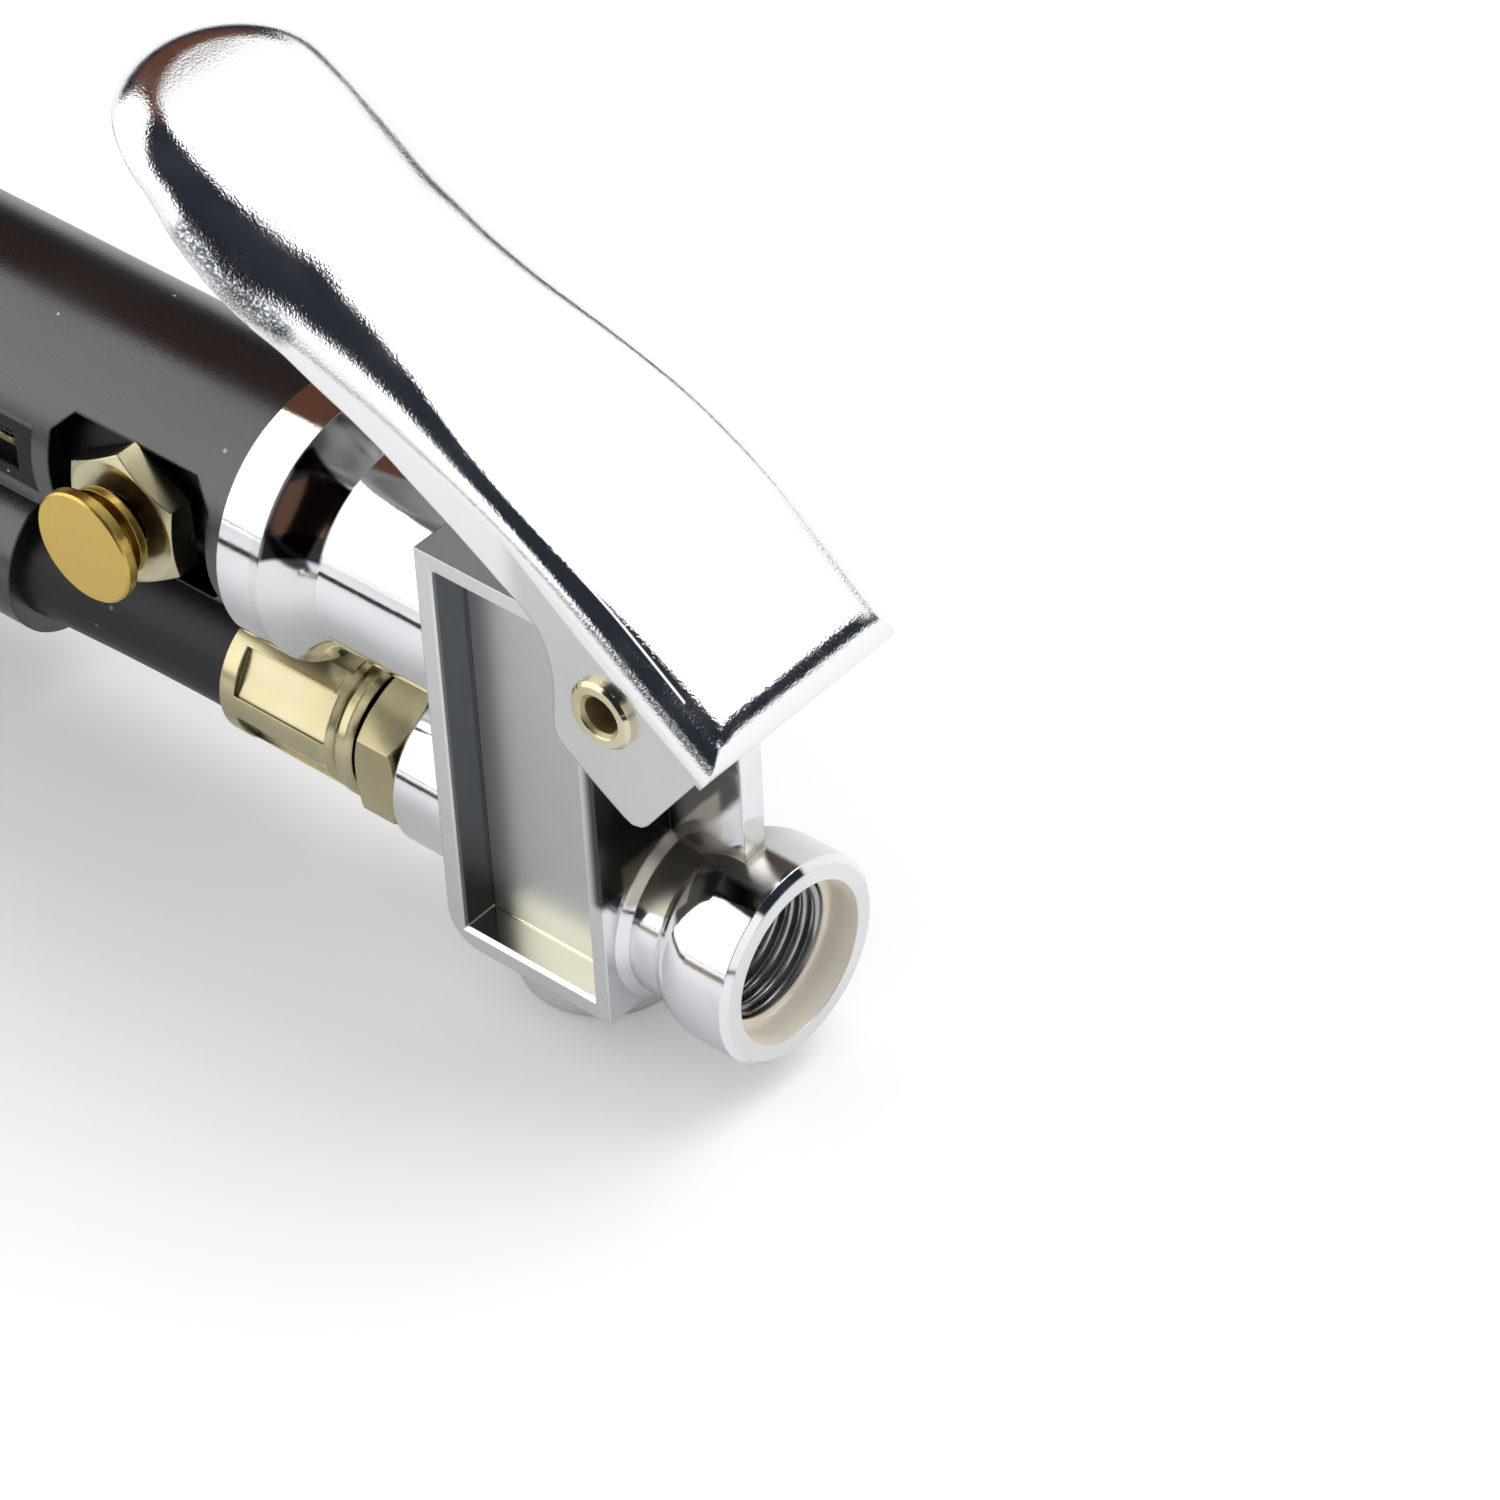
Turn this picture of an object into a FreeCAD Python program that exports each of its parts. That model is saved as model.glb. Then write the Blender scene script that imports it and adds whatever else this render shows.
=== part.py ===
import FreeCAD, Part
import math
import os
import re

import Sketcher

# Tyre inflator with a barrel gauge, a thumb lever and a short hose with a dual-foot chuck.
# Frame: the origin is the centre of the air inlet's mouth, +X points out of the inlet,
# +Z is up and the operator's side is -Y. All sizes are millimetres.

Vector = FreeCAD.Vector
STEPS_PER_TURN = 8  # straight steps in each turn of a spring
RIGHT_CORNER = 1  # pipe shell transition that mitres each step to the next
BARBS = 2  # barbs on each hose tail
doc = FreeCAD.newDocument("tyre_inflator")

# Driving sizes, one name each
SIZES = {
    # Inlet: a quarter inch parallel pipe thread in a belled mouth
    "bell_radius": 9.5,
    "bell_length": 8.8,
    "bell_round": 6.1,
    "mouth_edge": 0.6,
    "mouth_radius": 7.45,
    "mouth_depth": 3.0,
    "thread_root_radius": 6.58,
    "thread_depth": 11.5,
    "inlet_bore_radius": 4.4,
    "inlet_bore_end": 15.2,
    "neck_radius": 8.0,
    "neck_fillet": 0.8,
    # Valve box with its two side recesses
    "box_front": 12.4,
    "box_depth": 17.9,
    "box_half_width": 9.9,
    "box_floor": -6.9,
    "box_top": 35.1,
    "box_corner_round": 3.2,
    "rim_wall": 1.85,
    "rim_depth": 3.5,
    "rim_edge": 0.35,
    # Fin that backs the lever's lip and carries the pivot boss
    "fin_thickness": 2.5,
    "fin_front": 4.3,
    "fin_top": 33.9,
    # Valve column
    "valve_back": 22.15,
    "boss_radius": 7.55,
    "boss_bottom": -12.67,
    "boss_edge": 1.4,
    "lower_bore_radius": 4.6,
    "upper_bore_radius": 3.0,
    "gland_bore_radius": 4.0,
    "gland_depth": 6.1,
    "seat_height": 3.0,
    "cross_drill_radius": 1.5,
    "cross_drill_front": 13.2,
    "cross_drill_rise": -1.8,
    "cross_drill_tilt": 37.0,
    "cross_drill_length": 8.2,
    # Barrel with the gauge
    "barrel_rise": 23.0,
    "barrel_neck_radius": 9.8,
    "barrel_neck_length": 12.0,
    "flare_length": 4.3,
    "collar_radius": 12.4,
    "collar_length": 5.1,
    "collar_edge": 0.5,
    "tube_radius": 8.6,
    "tube_socket_depth": 7.5,
    "tube_length": 115.8,
    "chamber_radius": 6.0,
    "chamber_length": 32.0,
    "gauge_bore_radius": 7.0,
    "gauge_duct_radius": 1.5,
    # Rubber boot over the barrel
    "boot_radius": 11.3,
    "boot_rear_gap": 10.3,
    "boot_round": 1.6,
    "port_front": 53.6,
    "port_length": 18.4,
    "port_half_height": 6.5,
    "port_corner": 2.1,
    "bezel_gap": 2.0,
    "bezel_length": 56.0,
    "bezel_offset": 10.55,
    "window_inset": 2.6,
    "window_length": 49.4,
    "window_half_height": 2.05,
    "ring_front": 83.7,
    "ring_length": 16.0,
    "ring_radius": 8.0,
    "ring_gap": 0.25,
    # Gauge works
    "piston_length": 6.0,
    "piston_groove": 1.9,
    "drum_radius": 6.4,
    "drum_wall": 1.0,
    "drum_length": 38.0,
    "gauge_spring_radius": 4.5,
    "gauge_wire": 0.9,
    "gauge_turns": 10,
    "adjuster_radius": 4.8,
    "adjuster_length": 4.0,
    "adjuster_screw_radius": 1.9,
    "cap_spigot_length": 6.0,
    "cap_length": 8.5,
    "cap_radius": 9.6,
    "cap_edge": 1.2,
    "cap_flutes": 12,
    "flute_radius": 1.3,
    # Bleeder
    "bleeder_back": 62.8,
    "bleeder_across": 11.7,
    "bleeder_hex_base": 9.2,
    "bleeder_hex_face": 11.9,
    "bleeder_chamfer": 0.5,
    "bleeder_thread_radius": 3.6,
    "bleeder_bore_radius": 2.3,
    "bleeder_guide_radius": 1.3,
    "button_radius": 5.3,
    "button_face": 16.5,
    "button_rim": 1.1,
    "button_stem_radius": 3.3,
    "button_stem_length": 1.5,
    "flange_radius": 4.2,
    "flange_thickness": 0.8,
    "bleeder_wire": 0.35,
    "bleeder_turns": 2,
    # Hose side
    "hose_rise": 1.9,
    "hose_boss_radius": 7.83,
    "hose_boss_length": 8.1,
    "hose_boss_edge": 0.5,
    "hose_thread_radius": 4.8,
    "hose_thread_depth": 6.4,
    "hose_duct_radius": 1.8,
    "hose_hex_across": 13.0,
    "hose_hex_gap": 0.5,
    "hose_hex_length": 4.6,
    "hose_hex_chamfer": 0.6,
    "ferrule_length": 15.3,
    "ferrule_radius": 6.75,
    "ferrule_lip": 1.2,
    "ferrule_waist": 2.3,
    "ferrule_waist_depth": 0.75,
    "dent_length": 10.4,
    "dent_depth": 0.75,
    "barb_radius": 3.0,
    "barb_step": 0.4,
    "barb_neck_radius": 3.5,
    "hose_radius": 5.75,
    "hose_bore_radius": 3.1,
    # Lever, a pressed channel
    "pivot_back": 9.03,
    "pivot_rise": 29.98,
    "lever_half_width": 11.3,
    "lever_sheet": 1.2,
    "lever_reach": 2.97,
    "lever_front_rise": 30.23,
    "front_slope": 36.6,
    "front_run": 12.25,
    "brow_radius": 62.9,
    "waist_slope": 15.4,
    "waist_run": 8.4,
    "saddle_radius": 28.6,
    "rear_slope": 38.4,
    "rear_run": 7.0,
    "crown_radius": 21.2,
    "tip_slope": 12.7,
    "tip_run": 4.2,
    "tip_round": 9.6,
    "lip_drop": 4.2,
    "skirt_front_drop": 5.94,
    "cheek_depth": 7.6,
    "cheek_front": 8.9,
    "cheek_rear": 2.0,
    "cheek_corner": 1.8,
    # Pivot
    "rivet_radius": 2.6,
    "rivet_bore_radius": 1.7,
    "rivet_head_radius": 3.15,
    "rivet_head_height": 0.9,
    "pivot_boss_radius": 4.6,
    # Running clearances
    "running_fit": 0.05,
    "seat_gap": 0.03,
    # Valve works
    "stem_radius": 1.6,
    "gland_flange_height": 2.4,
    "gland_across": 9.0,
    "stem_ring_height": 2.0,
    "poppet_radius": 3.5,
    "poppet_height": 1.2,
    "disc_height": 1.1,
    "seat_bore_radius": 2.3,
    "valve_cap_height": 3.0,
    "valve_cap_radius": 5.4,
    "valve_cap_recess": 0.3,
    "valve_cap_cup_radius": 2.9,
    "valve_cap_cup_depth": 2.4,
    "valve_wire": 0.45,
    "valve_turns": 4,
    "valve_spring_radius": 2.2,
    "tube_ring_wire": 1.3,
    # Chuck on the end of the hose
    "chuck_side": 147.0,
    "chuck_back": 94.0,
    "chuck_bar_radius": 5.6,
    "chuck_bar_length": 34.0,
    "chuck_foot_radius": 6.75,
    "chuck_foot_half_length": 12.5,
    "chuck_foot_turn": 30.0,
    "chuck_mouth_radius": 4.2,
    "chuck_mouth_depth": 7.5,
    "chuck_seal_height": 2.4,
    "chuck_seal_bore_radius": 2.1,
    "chuck_pin_radius": 0.9,
    "floor_clearance": 0.02,
    "bell_shoulder": 4.0,
    "mouth_taper": 0.4,
    "flare_round": 6.0,
    "seat_level": 0.0,
    "seat_lip": 0.3,
    "stem_gap": 0.06,
    "stem_tail": 0.5,
    "cap_slot_half": 0.6,
    "cap_slot_depth": 1.0,
    "flute_out": 0.35,
    "bleeder_inside": 0.4,
    "bleeder_mouth_radius": 2.9,
    "bleeder_mouth_depth": 0.9,
    "bleeder_guide_length": 1.8,
    "bleeder_spring_radius": 1.7,
    "bleeder_seal_wire": 0.65,
    "button_edge": 0.2,
    "button_neck_radius": 2.0,
    "button_neck_length": 3.6,
    "button_rod_radius": 1.2,
    "button_rod_end": 4.9,
    "button_head_height": 0.6,
    "rivet_flare": 0.4,
    "rivet_round": 0.35,
    "barb_pitch": 5.6,
    "ferrule_round": 0.6,
    "ferrule_front_gap": 0.7,
    "dent_margin": 2.0,
    "dent_width": 4.6,
    "dent_count": 6,
    "chuck_collar": 6.0,
    "chuck_waist": 0.8,
    "chuck_edge": 0.6,
    "chuck_duct_radius": 1.6,
    "chuck_seal_recess": 0.8,
    "chuck_plate_height": 1.0,
    "chuck_pin_length": 4.2,
    "over_cut": 1.0,
    "ring_web_width": 4.4,
    "lever_bend": 3.0,
    "skirt_start": 9.3,
    "skirt_waist_drop": 2.8,
    "skirt_rear_drop": 3.5,
    "cheek_hollow": 0.95,
}

sizes = doc.addObject("Spreadsheet::Sheet", "Sizes")
for row, (word, number) in enumerate(SIZES.items(), start=1):
    sizes.set(f"A{row}", word)
    sizes.set(f"B{row}", str(number))
    sizes.setAlias(f"B{row}", word)
doc.recompute()


def bound(expression):
    """Write an expression of size names so that an object's property can be bound to it."""
    return re.sub(r"[a-z][a-z_]*_[a-z_]+", lambda word: "Sizes." + word.group(), str(expression))


def size(expression):
    """Read the value of an expression of size names."""
    return float(sizes.evalExpression(str(expression)))


# Shared ways of making a feature

def new_body(label, back="0", side="0", rise="0"):
    """Start a piece as a body with its own label, placed by expressions of size names."""
    body = doc.addObject("PartDesign::Body", label)
    body.Label = label
    for word, expression in (("x", f"-({back})"), ("y", side), ("z", rise)):
        body.setExpression(f"Placement.Base.{word}", bound(expression))
    return body


def origin_plane(body, role):
    """Find one of the body's own origin planes or axes."""
    return next(item for item in body.Origin.OriginFeatures if item.Role == role)


def new_sketch(body, name, role, across="0", up="0", lift="0", tilt="0"):
    """Attach a sketch to an origin plane, moved in it, off it and turned by expressions."""
    sketch = body.newObject("Sketcher::SketchObject", name)
    sketch.AttachmentSupport = [(origin_plane(body, role), "")]
    sketch.MapMode = "FlatFace"
    sketch.AttachmentOffset = FreeCAD.Placement(Vector(), FreeCAD.Rotation(Vector(0, 0, 1), 0))
    for word, expression in (("x", across), ("y", up), ("z", lift)):
        sketch.setExpression(f"AttachmentOffset.Base.{word}", bound(expression))
    sketch.setExpression("AttachmentOffset.Rotation.Angle", bound(tilt))
    return sketch


def arc_between(start, end, radius):
    """Make the short arc between two spots; a positive radius turns left on the way."""
    chord = end.sub(start)
    half = chord.Length / 2
    left = Vector(-chord.y, chord.x, 0).normalize()
    rise = math.sqrt(max(radius * radius - half * half, 0.0))
    centre = start.add(end).multiply(0.5).add(left.multiply(math.copysign(rise, radius)))
    circle = Part.Circle(centre, Vector(0, 0, 1), abs(radius))
    first, last = (start, end) if radius > 0 else (end, start)
    angles = [math.atan2(spot.y - centre.y, spot.x - centre.x) for spot in (first, last)]
    return Part.ArcOfCircle(circle, angles[0], angles[1])


def add_loop(sketch, corners):
    """Draw a closed loop whose corners are held by two dimensions each.

    A corner is (across, up), or (across, up, radius) where an arc leads to the next corner.
    """
    spots = [Vector(size(corner[0]), size(corner[1]), 0) for corner in corners]
    ends = []
    for index, corner in enumerate(corners):
        start, end = spots[index], spots[(index + 1) % len(spots)]
        if len(corner) == 2:
            number = sketch.addGeometry(Part.LineSegment(start, end), False)
            ends.append((number, 1, 2))
        else:
            radius = size(corner[2])
            number = sketch.addGeometry(arc_between(start, end, radius), False)
            ends.append((number, 1, 2) if radius > 0 else (number, 2, 1))
    for index, (number, _, last) in enumerate(ends):
        following, first, _ = ends[(index + 1) % len(ends)]
        sketch.addConstraint(Sketcher.Constraint("Coincident", number, last, following, first))
    for corner, spot, (number, first, _) in zip(corners, spots, ends):
        for kind, expression, value in zip(("DistanceX", "DistanceY"), corner, (spot.x, spot.y)):
            rule = Sketcher.Constraint(kind, -1, 1, number, first, value)
            place = sketch.addConstraint(rule)
            sketch.setExpression(f"Constraints[{place}]", bound(expression))
        if len(corner) == 3:
            rule = Sketcher.Constraint("Radius", number, abs(size(corner[2])))
            place = sketch.addConstraint(rule)
            sketch.setExpression(f"Constraints[{place}]", bound(f"abs({corner[2]})"))


def turn(body, name, corners, along="X", cut=False, role=None, **place):
    """Revolve a profile of (station, radius) corners about the X, Y or Z direction."""
    role = role or ("YZ_Plane" if along == "Y" else "XZ_Plane")
    sketch = new_sketch(body, name + "_profile", role, **place)
    if along == "Z":
        corners = [(corner[1], corner[0]) + tuple(corner[2:]) for corner in corners]
    add_loop(sketch, corners)
    feature = body.newObject("PartDesign::Groove" if cut else "PartDesign::Revolution", name)
    feature.Profile = sketch
    feature.ReferenceAxis = (sketch, ["V_Axis" if along == "Z" else "H_Axis"])
    feature.Angle = 360
    doc.recompute()
    return feature


def plain_cylinder(start, end, radius):
    """Corners of a plain round bar or bore between two stations."""
    return [(start, "0"), (end, "0"), (end, radius), (start, radius)]


def plain_ring(start, end, inner, outer):
    """Corners of a plain ring between two stations."""
    return [(start, inner), (end, inner), (end, outer), (start, outer)]


def extrude(body, name, loops, length, role="XZ_Plane", cut=False, one_way=False,
            reverse=False, **place):
    """Pad or pocket loops, evenly to both sides of the sketch unless one_way."""
    sketch = new_sketch(body, name + "_outline", role, **place)
    for corners in loops:
        add_loop(sketch, corners)
    feature = body.newObject("PartDesign::Pocket" if cut else "PartDesign::Pad", name)
    feature.Profile = sketch
    feature.SideType = "One side" if one_way else "Symmetric"
    feature.Reversed = reverse
    feature.setExpression("Length", bound(length))
    doc.recompute()
    return feature


def rectangle(left, bottom, right, top):
    """Four corners of an upright rectangle."""
    return [(left, bottom), (right, bottom), (right, top), (left, top)]


def hexagon(across_flats, turned=0):
    """Six corners of a hexagon, one of them pointing up unless turned."""
    radius = f"({across_flats}) / 2 / cos(30)"
    angles = [turned + 60 * corner for corner in range(6)]
    return [(f"{radius} * sin({angle})", f"{radius} * cos({angle})") for angle in angles]


def soften(body, name, amount, chosen, bevel=False):
    """Round or bevel the edges of the last feature that the test accepts."""
    tip = body.Tip
    edges = enumerate(tip.Shape.Edges, start=1)
    names = [f"Edge{number}" for number, edge in edges if chosen(edge)]
    if not names:
        raise ValueError(f"{body.Label}: no edge for {name}")
    feature = body.newObject("PartDesign::Chamfer" if bevel else "PartDesign::Fillet", name)
    feature.Base = (tip, names)
    feature.setExpression("Size" if bevel else "Radius", bound(amount))
    doc.recompute()
    return feature


def repeat_round(body, feature, axis, count):
    """Repeat a feature evenly about one of the body's own axes."""
    pattern = body.newObject("PartDesign::PolarPattern", feature.Name + "_pattern")
    pattern.Originals = [feature]
    pattern.Axis = (origin_plane(body, axis), [""])
    pattern.Angle = 360
    pattern.setExpression("Occurrences", bound(count))
    body.Tip = pattern
    doc.recompute()
    return pattern


def simple_piece(label, shape, back="0", side="0", rise="0"):
    """Hold a shape that no sketch feature fits, with its own label and placement."""
    piece = doc.addObject("Part::Feature", label)
    piece.Label = label
    piece.Shape = shape
    base = Vector(-size(back), size(side), size(rise))
    piece.Placement = FreeCAD.Placement(base, FreeCAD.Rotation()).multiply(shape.Placement)
    return piece


def ring_seal(label, start, end, inner, outer, along="X", **place):
    """Turn a square-cut seal ring between two stations and two radii."""
    body = new_body(label, **place)
    turn(body, "ring", plain_ring(start, end, inner, outer), along=along)
    return body


def coil(radius, wire, start, end, turns, along):
    """Sweep a six-sided wire along a helix of short straight steps between two stations."""
    first, last = size(start) + size(wire) / 2, size(end) - size(wire) / 2
    steps = int(round(STEPS_PER_TURN * size(turns)))
    spots = []
    for step in range(steps + 1):
        angle = 2 * math.pi * step / STEPS_PER_TURN
        spots.append(Vector(size(radius) * math.cos(angle), size(radius) * math.sin(angle),
                            first + (last - first) * step / steps))
    corners = [spots[0].add(Vector(size(wire) / 2 * math.cos(side), 0, size(wire) / 2 * math.sin(side)))
               for side in (math.pi / 3 * corner for corner in range(7))]
    path = Part.makePolygon(spots)
    shape = path.makePipeShell([Part.makePolygon(corners)], True, False, RIGHT_CORNER)
    shape.Placement = FreeCAD.Placement(Vector(), FreeCAD.Rotation(Vector(0, 0, 1), along))
    return shape


# Stations along the barrel and the hose, measured back from the inlet's mouth
BOX_REAR = "(box_front + box_depth)"
FLARE_FRONT = f"({BOX_REAR} + barrel_neck_length)"
COLLAR_FRONT = f"({FLARE_FRONT} + flare_length)"
COLLAR_REAR = f"({COLLAR_FRONT} + collar_length)"
TUBE_FRONT = f"({COLLAR_REAR} - tube_socket_depth)"
TUBE_REAR = f"({TUBE_FRONT} + tube_length)"
BOOT_REAR = f"({TUBE_REAR} - boot_rear_gap)"
PORT_REAR = "(port_front + port_length)"
BEZEL_FRONT = f"({PORT_REAR} + bezel_gap)"
WINDOW_FRONT = f"({BEZEL_FRONT} + window_inset)"
WINDOW_REAR = f"({WINDOW_FRONT} + window_length)"
PISTON_FRONT = f"({TUBE_FRONT} + chamber_length + 2 * running_fit)"
PISTON_REAR = f"({PISTON_FRONT} + piston_length)"
PISTON_MIDDLE = f"-({PISTON_FRONT} + piston_length / 2)"
ADJUSTER_REAR = f"({TUBE_REAR} - cap_spigot_length)"
ADJUSTER_FRONT = f"({ADJUSTER_REAR} - adjuster_length)"
HOSE_BOSS_REAR = f"({BOX_REAR} + hose_boss_length)"
HEX_FRONT = f"({HOSE_BOSS_REAR} + hose_hex_gap)"
HEX_REAR = f"({HEX_FRONT} + hose_hex_length)"
FERRULE_FRONT = f"({HEX_REAR} + ferrule_front_gap)"
FERRULE_REAR = f"({FERRULE_FRONT} + ferrule_length)"
CHUCK_HEX_FRONT = "(chuck_back - ferrule_length - ferrule_front_gap - hose_hex_length)"
CHUCK_BACK = f"({CHUCK_HEX_FRONT} - hose_hex_gap)"
CHUCK_RISE = "(boss_bottom + floor_clearance + ferrule_radius)"

# Levels of the valve column
SEAT_LOW = "(seat_level - seat_height)"
SEAL_TOP = f"({SEAT_LOW} - seat_lip - seat_gap)"
POPPET_TOP = f"({SEAL_TOP} - disc_height)"
POPPET_LOW = f"({POPPET_TOP} - poppet_height)"
CAP_LOW = "(boss_bottom + valve_cap_recess)"
CAP_TOP = f"({CAP_LOW} + valve_cap_height)"
CUP_FLOOR = f"({CAP_TOP} - valve_cap_cup_depth)"
GLAND_FLOOR = "(box_top - gland_depth)"


# Head casting: valve box, bell, barrel collar, hose boss, fin and pivot boss in one piece
def make_head():
    body = new_body("head_casting")
    left, right = f"-{BOX_REAR}", "-box_front"
    outer = rectangle(left, "box_floor", right, "box_top")
    window = rectangle(f"{left} + rim_wall", "box_floor + rim_wall",
                       f"{right} - rim_wall", "box_top - rim_wall")
    extrude(body, "box_web", [outer], "2 * (box_half_width - rim_depth)")
    extrude(body, "box_rim", [outer, window], "2 * box_half_width")

    def window_edge(edge):
        box = edge.BoundBox
        on_face = box.YLength < 0.01 and abs(abs(box.YMin) - size("box_half_width")) < 0.01
        inside = (box.XMin > size(left) + 0.1 and box.XMax < size(right) - 0.1
                  and box.ZMin > size("box_floor") + 0.1 and box.ZMax < size("box_top") - 0.1)
        return on_face and inside

    soften(body, "rim_bevel", "rim_edge", window_edge, bevel=True)

    def low_rear_edge(edge):
        middle = edge.BoundBox.Center
        low = abs(middle.z - size("box_floor")) < 0.01
        rear = abs(middle.x - size(left)) < 0.01
        return low and rear and edge.BoundBox.YLength > 1

    soften(body, "box_corner", "box_corner_round", low_rear_edge)
    turn(body, "bell", [
        ("-box_front - over_cut", "0"), ("-box_front - over_cut", "neck_radius + neck_fillet"),
        ("-box_front", "neck_radius + neck_fillet"),
        ("-box_front + neck_fillet", "neck_radius"),
        ("-bell_length", "neck_radius", "-bell_round"),
        ("-bell_length + bell_shoulder", "bell_radius"),
        ("-mouth_edge", "bell_radius"),
        ("0", "bell_radius - mouth_edge"), ("0", "0")])
    turn(body, "collar", [
        (f"-{BOX_REAR} + over_cut", "0"), (f"-{BOX_REAR} + over_cut", "barrel_neck_radius"),
        (f"-{FLARE_FRONT}", "barrel_neck_radius", "-flare_round"),
        (f"-{COLLAR_FRONT}", "collar_radius"),
        (f"-{COLLAR_REAR} + collar_edge", "collar_radius"),
        (f"-{COLLAR_REAR}", "collar_radius - collar_edge"), (f"-{COLLAR_REAR}", "0")],
        up="barrel_rise")
    turn(body, "hose_boss", [
        (f"-{BOX_REAR} + over_cut", "0"), (f"-{BOX_REAR} + over_cut", "hose_boss_radius"),
        (f"-{HOSE_BOSS_REAR} + hose_boss_edge", "hose_boss_radius"),
        (f"-{HOSE_BOSS_REAR}", "hose_boss_radius - hose_boss_edge"),
        (f"-{HOSE_BOSS_REAR}", "0")], up="hose_rise")
    turn(body, "valve_boss", [
        ("box_floor + over_cut", "0"), ("boss_bottom", "0"),
        ("boss_bottom", "boss_radius - boss_edge", "boss_edge"),
        ("boss_bottom + boss_edge", "boss_radius"), ("box_floor + over_cut", "boss_radius")],
        along="Z", across="-valve_back")
    extrude(body, "fin", [rectangle("-box_front - over_cut", "0", "-fin_front", "fin_top")],
            "fin_thickness")
    turn(body, "pivot_boss", plain_cylinder("-box_half_width", "box_half_width",
                                            "pivot_boss_radius"),
         along="Y", up="pivot_rise", lift="-pivot_back")

    # Inlet, its thread bore and the cross drilling to the space under the valve seat
    turn(body, "inlet_bore", [
        ("over_cut", "0"), ("over_cut", "mouth_radius"), ("0", "mouth_radius"),
        ("-mouth_depth", "mouth_radius - mouth_taper"),
        ("-mouth_depth", "thread_root_radius"), ("-thread_depth", "thread_root_radius"),
        ("-thread_depth - 1.2", "inlet_bore_radius"), ("-inlet_bore_end", "inlet_bore_radius"),
        ("-inlet_bore_end", "0")], cut=True)
    turn(body, "cross_drilling", plain_cylinder("0", "-cross_drill_length",
                                                "cross_drill_radius"),
         cut=True, across="-cross_drill_front", up="cross_drill_rise", tilt="cross_drill_tilt")
    # Valve column from the boss below to the gland above
    turn(body, "valve_bore", [
        ("boss_bottom - over_cut", "0"), ("boss_bottom - over_cut", "lower_bore_radius"),
        ("seat_level", "lower_bore_radius"), ("seat_level", "upper_bore_radius"),
        (GLAND_FLOOR, "upper_bore_radius"), (GLAND_FLOOR, "gland_bore_radius"),
        ("box_top + over_cut", "gland_bore_radius"), ("box_top + over_cut", "0")],
        along="Z", cut=True, across="-valve_back")
    turn(body, "cap_bore", plain_cylinder("boss_bottom - over_cut", CAP_TOP, "valve_cap_radius"),
         along="Z", cut=True, across="-valve_back")
    # Ducts back to the gauge and to the hose, each from the space above the seat
    turn(body, "gauge_bore", [
        (f"-{COLLAR_REAR} - over_cut", "0"), (f"-{COLLAR_REAR} - over_cut", "tube_radius + seat_gap"),
        (f"-{TUBE_FRONT} + tube_ring_wire", "tube_radius + seat_gap"),
        (f"-{TUBE_FRONT} + tube_ring_wire", "gauge_duct_radius"),
        ("-valve_back", "gauge_duct_radius"), ("-valve_back", "0")],
        cut=True, up="barrel_rise")
    turn(body, "hose_bore", [
        (f"-{HOSE_BOSS_REAR} - over_cut", "0"), (f"-{HOSE_BOSS_REAR} - over_cut", "hose_thread_radius"),
        (f"-{HOSE_BOSS_REAR} + hose_thread_depth", "hose_thread_radius"),
        (f"-{HOSE_BOSS_REAR} + hose_thread_depth", "hose_duct_radius"),
        ("-valve_back", "hose_duct_radius"), ("-valve_back", "0")],
        cut=True, up="hose_rise")
    turn(body, "pivot_bore", plain_cylinder("-box_half_width - over_cut", "box_half_width + over_cut",
                                            "rivet_radius + running_fit"),
         along="Y", cut=True, up="pivot_rise", lift="-pivot_back")
    return body


# Lever: one pressed channel whose top runs in tangent lines and arcs from lip to tip
def lever_path(inset, ahead=0.0, beyond=0.0):
    """Draw the lever's top line, set in from the outer face and longer at both ends."""
    angle = math.radians(size("front_slope"))
    edges = []

    def outward(turned):
        return Vector(math.sin(turned), 0, math.cos(turned))

    def straight(start, length):
        end = start.add(Vector(-math.cos(angle), 0, math.sin(angle)).multiply(length))
        edges.append(Part.LineSegment(start, end).toShape())
        return end

    def bend(start, radius, slope):
        nonlocal angle
        goal = math.radians(size(slope))
        side = 1 if goal > angle else -1
        reach = side * size(radius) + inset
        centre = start.add(outward(angle).multiply(reach))
        middle, end = (centre.sub(outward(turned).multiply(reach))
                       for turned in ((angle + goal) / 2, goal))
        edges.append(Part.Arc(start, middle, end).toShape())
        angle = goal
        return end

    spot = Vector(size("lever_reach"), 0, size("lever_front_rise"))
    spot = spot.sub(outward(angle).multiply(inset))
    spot = spot.add(Vector(math.cos(angle), 0, -math.sin(angle)).multiply(ahead))
    spot = straight(spot, size("front_run") + ahead)
    spot = bend(spot, "brow_radius", "waist_slope")
    spot = straight(spot, size("waist_run"))
    spot = bend(spot, "saddle_radius", "rear_slope")
    spot = straight(spot, size("rear_run"))
    spot = bend(spot, "crown_radius", "tip_slope")
    straight(spot, size("tip_run") + beyond)
    return edges


def lever_spot(along, out):
    """Place a point in the lever's own frame: back along its top and out from the pivot."""
    angle = math.radians(size("front_slope"))
    back = Vector(-math.cos(angle), 0, math.sin(angle)).multiply(along)
    outward = Vector(math.sin(angle), 0, math.cos(angle)).multiply(out)
    return Vector(-size("pivot_back"), 0, size("pivot_rise")).add(back).add(outward)


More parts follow.
